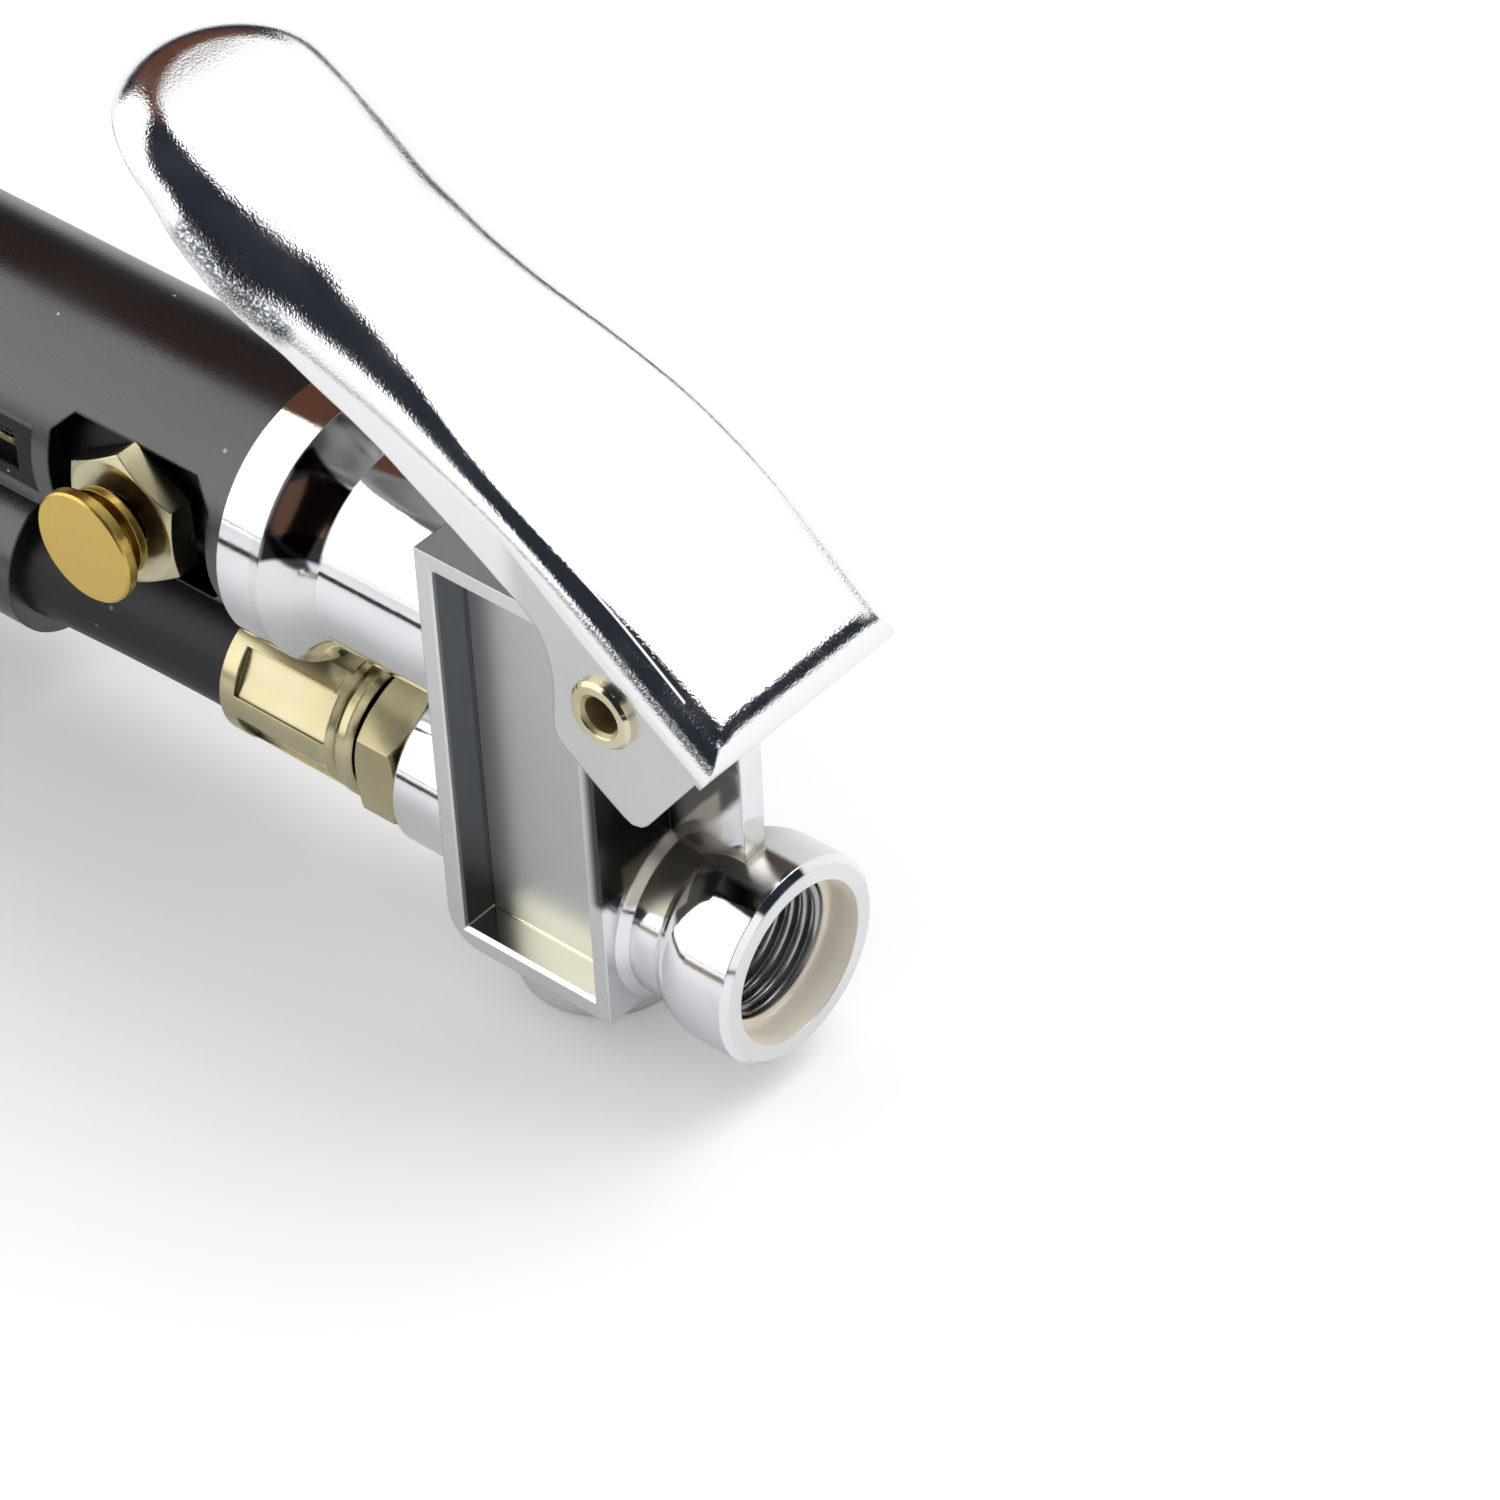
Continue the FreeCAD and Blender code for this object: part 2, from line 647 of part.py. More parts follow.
def lever_front():
    """Give the lip's place and the top's height in the lever's own frame."""
    offset = lever_path(0.0)[0].Vertexes[0].Point.sub(lever_spot(0, 0))
    angle = math.radians(size("front_slope"))
    along = -offset.x * math.cos(angle) + offset.z * math.sin(angle)
    out = offset.x * math.sin(angle) + offset.z * math.cos(angle)
    return along, out


def segment(start, end):
    """Make one straight edge."""
    return Part.LineSegment(start, end).toShape()


def lever_block(inset):
    """Make the solid under the lever's top, within its lip, sides and rounded tip."""
    tip = lever_path(0.0)[-1].Vertexes[-1].Point
    half = size("lever_half_width") - inset
    deep = 3 * size("lever_half_width")
    path = lever_path(inset, ahead=-inset, beyond=size("tip_run"))
    first, last = path[0].Vertexes[0].Point, path[-1].Vertexes[-1].Point
    low_front = lever_spot(lever_front()[0] + inset, -deep)
    low_rear = Vector(last.x, 0, low_front.z)
    outline = path + [segment(last, low_rear), segment(low_rear, low_front),
                      segment(low_front, first)]
    side = Part.Face(Part.Wire(outline))
    side.translate(Vector(0, -half, 0))
    block = side.extrude(Vector(0, 2 * half, 0))
    plan = Part.makeBox(size("lever_reach") - tip.x + deep, 2 * half, 4 * deep,
                        Vector(tip.x + inset, -half, -deep))
    corners = [edge for edge in plan.Edges
               if edge.BoundBox.ZLength > deep and edge.BoundBox.XMax < tip.x + deep / 2]
    block = block.common(plan.makeFillet(size("tip_round") - inset, corners))
    top = Part.makeCompound([edge.extrude(Vector(0, 2 * half, 0)) for edge in path])
    top.translate(Vector(0, -half, 0))

    def on_rim(edge):
        middle = edge.valueAt((edge.FirstParameter + edge.LastParameter) / 2)
        crosses = edge.BoundBox.YLength > 2 * half - 0.1 and abs(middle.x - first.x) > 0.1
        return not crosses and top.distToShape(Part.Vertex(middle))[0] < 0.001

    rim = [edge for edge in block.Edges if on_rim(edge)]
    return block.makeFillet(size("lever_bend") - inset, rim)


def lever_trim():
    """Make the prism whose outline trims the skirts, the cheeks and the lip."""
    lip, out = lever_front()
    angle = math.radians(size("front_slope"))
    far = 4 * size("lever_half_width")
    lip_low = out - size("lip_drop")
    path = lever_path(0.0)
    lip_outside = lever_spot(lip - far, lip_low)
    lip_inside = lever_spot(-size("cheek_front"), lip_low)
    front_low = lever_spot(-size("cheek_front"), -size("cheek_depth"))
    rear_low = lever_spot(size("cheek_rear"), -size("cheek_depth"))
    skirt_start = lever_spot(size("skirt_start"), out - size("skirt_front_drop"))
    chord = skirt_start.sub(rear_low)
    inward = Vector(chord.z, 0, -chord.x).normalize()
    hollow = rear_low.add(skirt_start).multiply(0.5).add(inward.multiply(size("cheek_hollow")))
    waist_end = path[2].Vertexes[-1].Point
    slope = math.radians(size("waist_slope"))
    waist_low = waist_end.sub(Vector(math.sin(slope), 0, math.cos(slope))
                              .multiply(size("skirt_waist_drop")))
    rear = lever_path(size("skirt_rear_drop"), beyond=far)[5:]
    above = [Vector(rear[-1].Vertexes[-1].Point.x, 0, 2 * far), Vector(lip_outside.x, 0, 2 * far)]
    edges = [segment(lip_outside, lip_inside), segment(lip_inside, front_low),
             segment(front_low, rear_low), Part.Arc(rear_low, hollow, skirt_start).toShape(),
             Part.Arc(skirt_start, waist_low, rear[0].Vertexes[0].Point).toShape()]
    edges += rear
    edges += [segment(rear[-1].Vertexes[-1].Point, above[0]), segment(above[0], above[1]),
              segment(above[1], lip_outside)]
    face = Part.Face(Part.Wire(edges))
    face.translate(Vector(0, -far / 2, 0))
    prism = face.extrude(Vector(0, far, 0))

    def at_cheek_corner(edge):
        middle = edge.BoundBox.Center
        spots = (front_low, rear_low)
        near = min(Vector(middle.x, 0, middle.z).distanceToPoint(spot) for spot in spots)
        return edge.BoundBox.YLength > far / 2 and near < 0.01

    return prism.makeFillet(size("cheek_corner"), [e for e in prism.Edges if at_cheek_corner(e)])


def below_lip():
    """Make the block that clears the front wall away between the cheeks, below the lip."""
    lip, out = lever_front()
    front = lip - size("over_cut")
    rear = lip + size("lever_sheet + over_cut")
    high = out - size("lip_drop")
    low = high - 3 * size("cheek_depth")
    corners = [lever_spot(front, high), lever_spot(rear, high),
               lever_spot(rear, low), lever_spot(front, low)]
    half = size("lever_half_width - lever_sheet")
    face = Part.Face(Part.makePolygon(corners + corners[:1]))
    face.translate(Vector(0, -half, 0))
    return face.extrude(Vector(0, 2 * half, 0))


def make_lever():
    shell = lever_block(0.0).cut(lever_block(size("lever_sheet")))
    shell = shell.common(lever_trim()).cut(below_lip())
    reach = 2 * size("lever_half_width")
    start = Vector(-size("pivot_back"), -reach, size("pivot_rise"))
    hole = Part.makeCylinder(size("rivet_radius + running_fit"), 2 * reach, start, Vector(0, 1, 0))
    return simple_piece("lever", shell.cut(hole).Solids[0])


def stem_head():
    """Find how high the stem's domed top reaches, just clear of the lever's inner face."""
    gap = size("lever_sheet + stem_radius + stem_gap")
    line = Part.Wire(lever_path(gap))
    far = 4 * size("lever_half_width")
    upright = segment(Vector(-size("valve_back"), 0, 0), Vector(-size("valve_back"), 0, far))
    centre = line.distToShape(upright)[1][0][0]
    return centre.z


def make_rivet():
    body = new_body("lever_rivet", "pivot_back", "0", "pivot_rise")
    inner = "(lever_half_width + running_fit)"
    outer = f"({inner} + rivet_head_height)"
    turn(body, "shank_and_heads", [
        (f"-{outer}", "rivet_bore_radius + rivet_flare"),
        (f"-{outer}", "rivet_head_radius - rivet_round"),
        (f"-{outer} + rivet_round", "rivet_head_radius"),
        (f"-{inner}", "rivet_head_radius"), (f"-{inner}", "rivet_radius"),
        (inner, "rivet_radius"), (inner, "rivet_head_radius"),
        (f"{outer} - rivet_round", "rivet_head_radius"),
        (outer, "rivet_head_radius - rivet_round"),
        (outer, "rivet_bore_radius + rivet_flare"),
        (f"{outer} - rivet_flare", "rivet_bore_radius"),
        (f"-{outer} + rivet_flare", "rivet_bore_radius")], along="Y")
    return body


# Valve column: seat, moving stem with its disc, return spring, cap below and gland above
def make_valve_seat():
    body = new_body("valve_seat", "valve_back")
    turn(body, "seat", [
        ("seat_level", "seat_bore_radius"), ("seat_level", "lower_bore_radius"),
        (SEAT_LOW, "lower_bore_radius"), (SEAT_LOW, "seat_bore_radius + 2 * seat_lip"),
        (f"{SEAT_LOW} - seat_lip", "seat_bore_radius + seat_lip"),
        (SEAT_LOW, "seat_bore_radius")], along="Z")
    return body


def make_valve_seal():
    body = new_body("valve_seal", "valve_back")
    turn(body, "disc", plain_ring(POPPET_TOP, SEAL_TOP, "stem_radius", "poppet_radius"),
         along="Z")
    return body


def make_poppet():
    body = new_body("valve_poppet", "valve_back")
    turn(body, "carrier", plain_ring(POPPET_LOW, POPPET_TOP, "stem_radius", "poppet_radius"),
         along="Z")
    return body


def make_stem():
    body = new_body("valve_stem", "valve_back")
    head = f"{stem_head():.4f}"
    turn(body, "rod", [
        (f"{POPPET_LOW} - stem_tail", "0"), (f"{POPPET_LOW} - stem_tail", "stem_radius"),
        (head, "stem_radius", "stem_radius"), (f"{head} + stem_radius", "0")], along="Z")
    return body


def make_gland():
    body = new_body("stem_gland", "valve_back")
    low = f"({GLAND_FLOOR} + stem_ring_height)"
    turn(body, "plug", plain_ring(low, "box_top", "stem_radius + running_fit",
                                  "gland_bore_radius"), along="Z")
    extrude(body, "hex_head", [hexagon("gland_across")], "gland_flange_height",
            role="XY_Plane", one_way=True, lift="box_top")
    turn(body, "guide_bore", plain_cylinder("box_top - over_cut", "box_top + gland_flange_height + over_cut",
                                            "stem_radius + running_fit"), along="Z", cut=True)
    return body


def make_valve_cap():
    body = new_body("valve_cap", "valve_back")
    turn(body, "plug", [
        (CAP_LOW, "0"), (CAP_LOW, "valve_cap_radius"), (CAP_TOP, "valve_cap_radius"),
        (CAP_TOP, "valve_cap_cup_radius"), (CUP_FLOOR, "valve_cap_cup_radius"),
        (CUP_FLOOR, "0")], along="Z")
    extrude(body, "slot", [rectangle("-valve_cap_radius", "-cap_slot_half", "valve_cap_radius",
                                     "cap_slot_half")], "cap_slot_depth", role="XY_Plane",
            cut=True, one_way=True, reverse=True, lift=CAP_LOW)
    return body


def make_tube():
    body = new_body("gauge_tube", rise="barrel_rise")
    step = f"-({TUBE_FRONT} + chamber_length)"
    turn(body, "wall", [
        (f"-{TUBE_FRONT}", "chamber_radius"), (step, "chamber_radius"),
        (step, "gauge_bore_radius"), (f"-{TUBE_REAR}", "gauge_bore_radius"),
        (f"-{TUBE_REAR}", "tube_radius"), (f"-{TUBE_FRONT}", "tube_radius")])
    extrude(body, "window", [rectangle(f"-{WINDOW_REAR}", "-window_half_height",
                                       f"-{WINDOW_FRONT}", "window_half_height")],
            "tube_radius + over_cut", cut=True, one_way=True, reverse=True)
    turn(body, "bleeder_hole", plain_cylinder("-tube_radius - over_cut", "-chamber_radius / 2",
                                              "bleeder_thread_radius"),
         along="Y", cut=True, lift="-bleeder_back")
    return body


def make_boot():
    body = new_body("rubber_boot")
    front, rear = f"-{COLLAR_REAR} - seat_gap", f"-{BOOT_REAR}"
    turn(body, "sleeve", [
        (front, "tube_radius"), (front, "boot_radius"), (f"{rear} + boot_round", "boot_radius"),
        (rear, "boot_radius - boot_round"), (rear, "tube_radius")], up="barrel_rise")
    ring_rear = "(ring_front + ring_length)"
    web_top = "barrel_rise - tube_radius - 0.5"
    extrude(body, "ring_web", [rectangle(f"-{ring_rear}", "hose_rise + hose_radius + over_cut",
                                         "-ring_front", web_top)], "ring_web_width")
    turn(body, "hose_ring", plain_ring(f"-{ring_rear}", "-ring_front",
                                       "hose_radius + ring_gap", "ring_radius"), up="hose_rise")
    extrude(body, "bleeder_port", [[
        (f"-{PORT_REAR}", "-port_half_height + port_corner"),
        (f"-{PORT_REAR} + port_corner", "-port_half_height"),
        ("-port_front - port_corner", "-port_half_height"),
        ("-port_front", "-port_half_height + port_corner"),
        ("-port_front", "port_half_height - port_corner"),
        ("-port_front - port_corner", "port_half_height"),
        (f"-{PORT_REAR} + port_corner", "port_half_height"),
        (f"-{PORT_REAR}", "port_half_height - port_corner")]],
        "boot_radius + over_cut", cut=True, one_way=True, reverse=True, up="barrel_rise")
    extrude(body, "bezel_flat", [rectangle(f"-{BEZEL_FRONT} - bezel_length", "-boot_radius",
                                           f"-{BEZEL_FRONT}", "boot_radius")],
            "boot_radius", cut=True, one_way=True, reverse=True, up="barrel_rise",
            lift="bezel_offset")
    extrude(body, "window_slot", [rectangle(f"-{WINDOW_REAR}", "-window_half_height",
                                            f"-{WINDOW_FRONT}", "window_half_height")],
            "boot_radius + over_cut", cut=True, one_way=True, reverse=True, up="barrel_rise")
    return body


def make_lens():
    rear = -size(f"{WINDOW_REAR} - seat_gap")
    past = -size(f"{WINDOW_REAR} + over_cut")
    ahead = Vector(1, 0, 0)
    outer = Part.makeCylinder(size("tube_radius"), size("window_length - 2 * seat_gap"),
                              Vector(rear, 0, 0), ahead)
    inner = Part.makeCylinder(size("gauge_bore_radius"), size("window_length + 2 * over_cut"),
                              Vector(past, 0, 0), ahead)
    half = size("window_half_height - seat_gap")
    strip = Part.makeBox(size("window_length + 2 * over_cut"), size("tube_radius"), 2 * half,
                         Vector(past, -size("tube_radius"), -half))
    return simple_piece("window_lens", outer.cut(inner).common(strip), rise="barrel_rise")


# Gauge works: piston, seal, numbered drum, spring and adjuster
def make_piston():
    body = new_body("gauge_piston", rise="barrel_rise")
    rim = "(gauge_bore_radius - running_fit)"
    low = f"({rim} - piston_groove)"
    turn(body, "piston", [
        (f"-{PISTON_FRONT}", "0"), (f"-{PISTON_FRONT}", rim),
        (f"{PISTON_MIDDLE} + piston_groove / 2", rim),
        (f"{PISTON_MIDDLE} + piston_groove / 2", low),
        (f"{PISTON_MIDDLE} - piston_groove / 2", low),
        (f"{PISTON_MIDDLE} - piston_groove / 2", rim),
        (f"-{PISTON_REAR}", rim), (f"-{PISTON_REAR}", "0")])
    return body


def make_drum():
    body = new_body("gauge_drum", rise="barrel_rise")
    turn(body, "sleeve", plain_ring(f"-({PISTON_REAR} + drum_length)", f"-{PISTON_REAR}",
                                    "drum_radius - drum_wall", "drum_radius"))
    return body


def make_adjuster():
    body = new_body("spring_adjuster", rise="barrel_rise")
    turn(body, "seat_and_screw", [
        (f"-{ADJUSTER_FRONT}", "0"), (f"-{ADJUSTER_FRONT}", "adjuster_radius"),
        (f"-{ADJUSTER_REAR}", "adjuster_radius"),
        (f"-{ADJUSTER_REAR}", "adjuster_screw_radius"),
        (f"-({TUBE_REAR} + cap_length - cap_edge)", "adjuster_screw_radius"),
        (f"-({TUBE_REAR} + cap_length - cap_edge)", "0")])
    return body


def make_end_cap():
    body = new_body("end_cap", rise="barrel_rise")
    rear = f"-({TUBE_REAR} + cap_length)"
    turn(body, "knob", [
        (f"-{ADJUSTER_REAR}", "adjuster_screw_radius"), (f"-{ADJUSTER_REAR}", "gauge_bore_radius"),
        (f"-{TUBE_REAR}", "gauge_bore_radius"), (f"-{TUBE_REAR}", "cap_radius - cap_edge / 2"),
        (f"-{TUBE_REAR} - cap_edge / 2", "cap_radius"), (f"{rear} + cap_edge", "cap_radius"),
        (rear, "cap_radius - cap_edge"), (rear, "adjuster_screw_radius")])
    flute = turn(body, "flute", plain_cylinder(f"{rear} - over_cut", f"-{TUBE_REAR} - cap_edge",
                                               "flute_radius"), cut=True, up="cap_radius + flute_out")
    repeat_round(body, flute, "X_Axis", "cap_flutes")
    return body


# Bleeder: hexagon body in the barrel wall, sprung brass button through it
def make_bleeder_nut():
    body = new_body("bleeder_nut", "bleeder_back", "0", "barrel_rise")
    inner = "-(chamber_radius - bleeder_inside)"
    extrude(body, "hexagon", [hexagon("bleeder_across")], "bleeder_hex_face - bleeder_hex_base",
            one_way=True, lift="bleeder_hex_base")
    corner = "(bleeder_across / 2 / cos(30))"
    turn(body, "corner_bevel", [
        ("-bleeder_hex_face", f"{corner} - 2 * bleeder_chamfer"),
        ("-bleeder_hex_face + bleeder_chamfer", f"{corner} + 0.1"),
        ("-bleeder_hex_face - over_cut", f"{corner} + 0.1"),
        ("-bleeder_hex_face - over_cut", f"{corner} - 2 * bleeder_chamfer")], along="Y", cut=True)
    turn(body, "spigot", plain_cylinder("-bleeder_hex_base - 0.5", inner,
                                        "bleeder_thread_radius"), along="Y")
    turn(body, "bore", [
        ("-bleeder_hex_face - over_cut", "0"), ("-bleeder_hex_face - over_cut", "bleeder_mouth_radius"),
        ("-bleeder_hex_face + bleeder_mouth_depth", "bleeder_mouth_radius"),
        ("-bleeder_hex_face + bleeder_mouth_depth", "bleeder_bore_radius"),
        (f"{inner} - bleeder_guide_length", "bleeder_bore_radius"),
        (f"{inner} - bleeder_guide_length", "bleeder_guide_radius"),
        (f"{inner} + over_cut", "bleeder_guide_radius"), (f"{inner} + over_cut", "0")], along="Y", cut=True)
    return body


def make_button():
    body = new_body("bleeder_button", "bleeder_back", "0", "barrel_rise")
    rim_back = "(-button_face + button_rim)"
    flange_face = f"({rim_back} + button_stem_length)"
    flange_back = f"({flange_face} + flange_thickness)"
    turn(body, "button", [
        ("-button_face", "0"), ("-button_face", "button_radius - button_edge"),
        ("-button_face + button_edge", "button_radius"), (rim_back, "button_radius"),
        (rim_back, "button_stem_radius"), (flange_face, "button_stem_radius"),
        (flange_face, "flange_radius"), (flange_back, "flange_radius"),
        (flange_back, "button_neck_radius"),
        (f"{flange_back} + button_neck_length", "button_neck_radius"),
        (f"{flange_back} + button_neck_length", "button_rod_radius"),
        ("-button_rod_end", "button_rod_radius"),
        ("-button_rod_end", "button_neck_radius"),
        ("-button_rod_end + button_head_height", "button_neck_radius"),
        ("-button_rod_end + button_head_height", "0")], along="Y")
    return body


# Hose side: hexagon fitting with a barbed tail, pressed ferrule and the hose itself
def make_hose_fitting(label, back, side, rise, turned=0):
    """Make a fitting whose hexagon starts at its own origin and whose tail runs to -X."""
    thread_length = "(hose_thread_depth + hose_hex_gap - 2 * seat_gap)"
    body = new_body(label, back, side, rise)
    tail = "(hose_hex_length + ferrule_front_gap)"
    end = f"({tail} + ferrule_length - ferrule_lip)"
    extrude(body, "hexagon", [hexagon("hose_hex_across", turned)], "hose_hex_length", role="YZ_Plane",
            one_way=True, reverse=True)
    corner = "(hose_hex_across / 2 / cos(30))"
    for name, face, inward in (("front", "0", "-"), ("rear", "-hose_hex_length", "+")):
        turn(body, name + "_bevel", [
            (face, f"{corner} - 1.6 * hose_hex_chamfer"),
            (f"{face} {inward} hose_hex_chamfer", f"{corner} + 0.1"),
            (face, f"{corner} + 0.1")], cut=True)
    turn(body, "thread", plain_cylinder("-0.5", thread_length, "hose_thread_radius"))
    profile = [("-hose_hex_length + 0.5", "0"), ("-hose_hex_length + 0.5", "barb_neck_radius"),
               (f"-{tail} - ferrule_lip", "barb_neck_radius")]
    for barb in range(BARBS):
        start = f"-{tail} - ferrule_lip - {barb} * barb_pitch"
        profile += [(start, "barb_radius"), (f"{start} - barb_pitch + 0.3", "barb_radius - barb_step")]
    last = f"-{tail} - ferrule_lip - {BARBS} * barb_pitch"
    profile += [(last, "barb_radius - barb_step"), (last, "0")]
    turn(body, "barbs", profile)
    turn(body, "bore", plain_cylinder(f"{last} - over_cut", f"{thread_length} + over_cut",
                                      "hose_duct_radius"), cut=True)
    return body


def make_ferrule(label, back, side, rise):
    """Make a crimped ferrule whose closed end faces +X at its own origin."""
    body = new_body(label, back, side, rise)
    waist = "ferrule_radius - ferrule_waist_depth"
    turn(body, "skirt", [
        ("0", "barb_neck_radius + seat_gap"), ("0", "ferrule_radius - ferrule_round"),
        ("-ferrule_round", "ferrule_radius"), ("-ferrule_waist + 0.9", "ferrule_radius"),
        ("-ferrule_waist", waist), ("-ferrule_waist - 0.9", "ferrule_radius"),
        ("-ferrule_length + ferrule_round / 2", "ferrule_radius"),
        ("-ferrule_length", "ferrule_radius - ferrule_round / 2"),
        ("-ferrule_length", "hose_radius"), ("-ferrule_lip", "hose_radius"),
        ("-ferrule_lip", "barb_neck_radius + seat_gap")])
    dent = extrude(body, "dent", [rectangle("-ferrule_length + dent_margin",
                                            "ferrule_radius - dent_depth",
                                            "-ferrule_length + dent_margin + dent_length",
                                            "ferrule_radius + over_cut")],
                   "dent_width", cut=True)
    repeat_round(body, dent, "X_Axis", "dent_count")
    return body


def hose_route():
    """List the corner points of the hose's centre line, from ferrule mouth to ferrule mouth."""
    floor = size("boss_bottom + floor_clearance")
    lying = floor + size("hose_radius")
    end = Vector(-size("chuck_back"), -size("chuck_side"), floor + size("ferrule_radius"))
    return [Vector(-size(FERRULE_REAR), 0, size("hose_rise")),
            Vector(-134.5, 0, size("hose_rise")),
            Vector(-187.0, -53.0, lying),
            Vector(-187.5, -108.5, lying),
            Vector(-149.0, -147.0, end.z),
            end]


def rounded_path(route):
    """Join straight runs by tangent arcs, each as large as its two runs allow."""
    edges = []
    spot = route[0]
    radii = []
    for before, corner, after in zip(route, route[1:], route[2:]):
        run_in, run_out = corner.sub(before), after.sub(corner)
        turned = run_in.getAngle(run_out)
        setback = 0.45 * min(run_in.Length, run_out.Length)
        radii.append(setback / math.tan(turned / 2))
        start = corner.sub(Vector(run_in).normalize().multiply(setback))
        end = corner.add(Vector(run_out).normalize().multiply(setback))
        toward = start.add(end).multiply(0.5).sub(corner)
        reach = radii[-1] / math.cos(turned / 2) - radii[-1]
        middle = corner.add(toward.normalize().multiply(reach))
        edges += [segment(spot, start), Part.Arc(start, middle, end).toShape()]
        spot = end
    edges.append(segment(spot, route[-1]))
    return Part.Wire(edges), radii


def make_hose():
    route = hose_route()
    path, radii = rounded_path(route)
    tubes = []
    for radius in (size("hose_radius"), size("hose_bore_radius")):
        section = Part.Wire([Part.makeCircle(radius, route[0], Vector(-1, 0, 0))])
        tube = path.makePipeShell([section], True, False)
        inside = size("ferrule_length - ferrule_lip - seat_gap")
        near = Part.makeCylinder(radius, inside, route[0], Vector(1, 0, 0))
        far = Part.makeCylinder(radius, inside, route[-1], Vector(1, 0, 0))
        tubes.append(tube.fuse([near, far]).removeSplitter())
        measured = tube.Volume / (math.pi * radius ** 2 * path.Length)
        print(f"hose tube volume over section times length: {measured:.5f}")
    print("hose length:", round(path.Length, 1), "radii:", [round(radius, 1) for radius in radii])
    return simple_piece("hose", tubes[0].cut(tubes[1]))


# Chuck: a bar with a double foot across it, open at both ends
def make_chuck_body():
    body = new_body("chuck_body", CHUCK_BACK, "-chuck_side", CHUCK_RISE)
    turn(body, "bar", [
        ("0", "0"), ("0", "chuck_bar_radius"), ("chuck_collar", "chuck_bar_radius"),
        ("chuck_collar + over_cut", "chuck_bar_radius - chuck_waist"),
        ("chuck_bar_length", "chuck_bar_radius - chuck_waist"), ("chuck_bar_length", "0")])
    half = "chuck_foot_half_length"
    foot = {"role": "XY_Plane", "across": "chuck_bar_length", "tilt": "90 - chuck_foot_turn"}
    turn(body, "foot", [
        (f"-{half}", "0"), (half, "0"), (half, "chuck_foot_radius - chuck_edge"),
        (f"{half} - chuck_edge", "chuck_foot_radius"),
        (f"-{half} + chuck_edge", "chuck_foot_radius"),
        (f"-{half}", "chuck_foot_radius - chuck_edge")], **foot)
    for name, sign in (("left", "-"), ("right", "")):
        floor = f"{sign}({half} - chuck_mouth_depth)"
        turn(body, name + "_mouth",
             plain_cylinder(floor, f"{sign}({half} + over_cut)", "chuck_mouth_radius"),
             cut=True, **foot)
    turn(body, "cross_duct", plain_cylinder(f"-{half}", half, "chuck_duct_radius"),
         cut=True, **foot)
    turn(body, "bar_duct", [
        ("-over_cut", "0"), ("-over_cut", "hose_thread_radius"),
        ("hose_thread_depth", "hose_thread_radius"), ("hose_thread_depth", "hose_duct_radius"),
        ("chuck_bar_length", "hose_duct_radius"), ("chuck_bar_length", "0")], cut=True)
    return body


def foot_pair(label, make_one):
    """Set two like pieces into the two mouths of the foot."""
    turned = size("90 - chuck_foot_turn")
    shapes = []
    for flip in (0, 180):
        shape = make_one()
        shape.rotate(Vector(), Vector(0, 0, 1), turned + flip)
        shapes.append(shape)
    pair = Part.makeCompound(shapes)
    return simple_piece(label, pair, f"{CHUCK_BACK} - chuck_bar_length", "-chuck_side", CHUCK_RISE)


def chuck_seal():
    """Make one rubber seal ring at a mouth of the foot, along +X."""
    start = Vector(size("chuck_foot_half_length - chuck_seal_height - chuck_seal_recess"), 0, 0)
    height = size("chuck_seal_height")
    outer = Part.makeCylinder(size("chuck_mouth_radius"), height, start, Vector(1, 0, 0))
    bore = Part.makeCylinder(size("chuck_seal_bore_radius"), height, start, Vector(1, 0, 0))
    return outer.cut(bore)


def chuck_pin():
    """Make one fixed pin that presses a tyre valve's core, on its pierced plate."""
    start = size("chuck_foot_half_length - chuck_mouth_depth")
    ahead = Vector(1, 0, 0)
    plate = Part.makeCylinder(size("chuck_mouth_radius"), size("chuck_plate_height"),
                              Vector(start, 0, 0), ahead)
    pin = Part.makeCylinder(size("chuck_pin_radius"), size("chuck_pin_length"),
                            Vector(start, 0, 0), ahead)
    return plate.fuse(pin)


SPRING_SEAT = "(button_face - button_rim - button_stem_length - flange_thickness)"

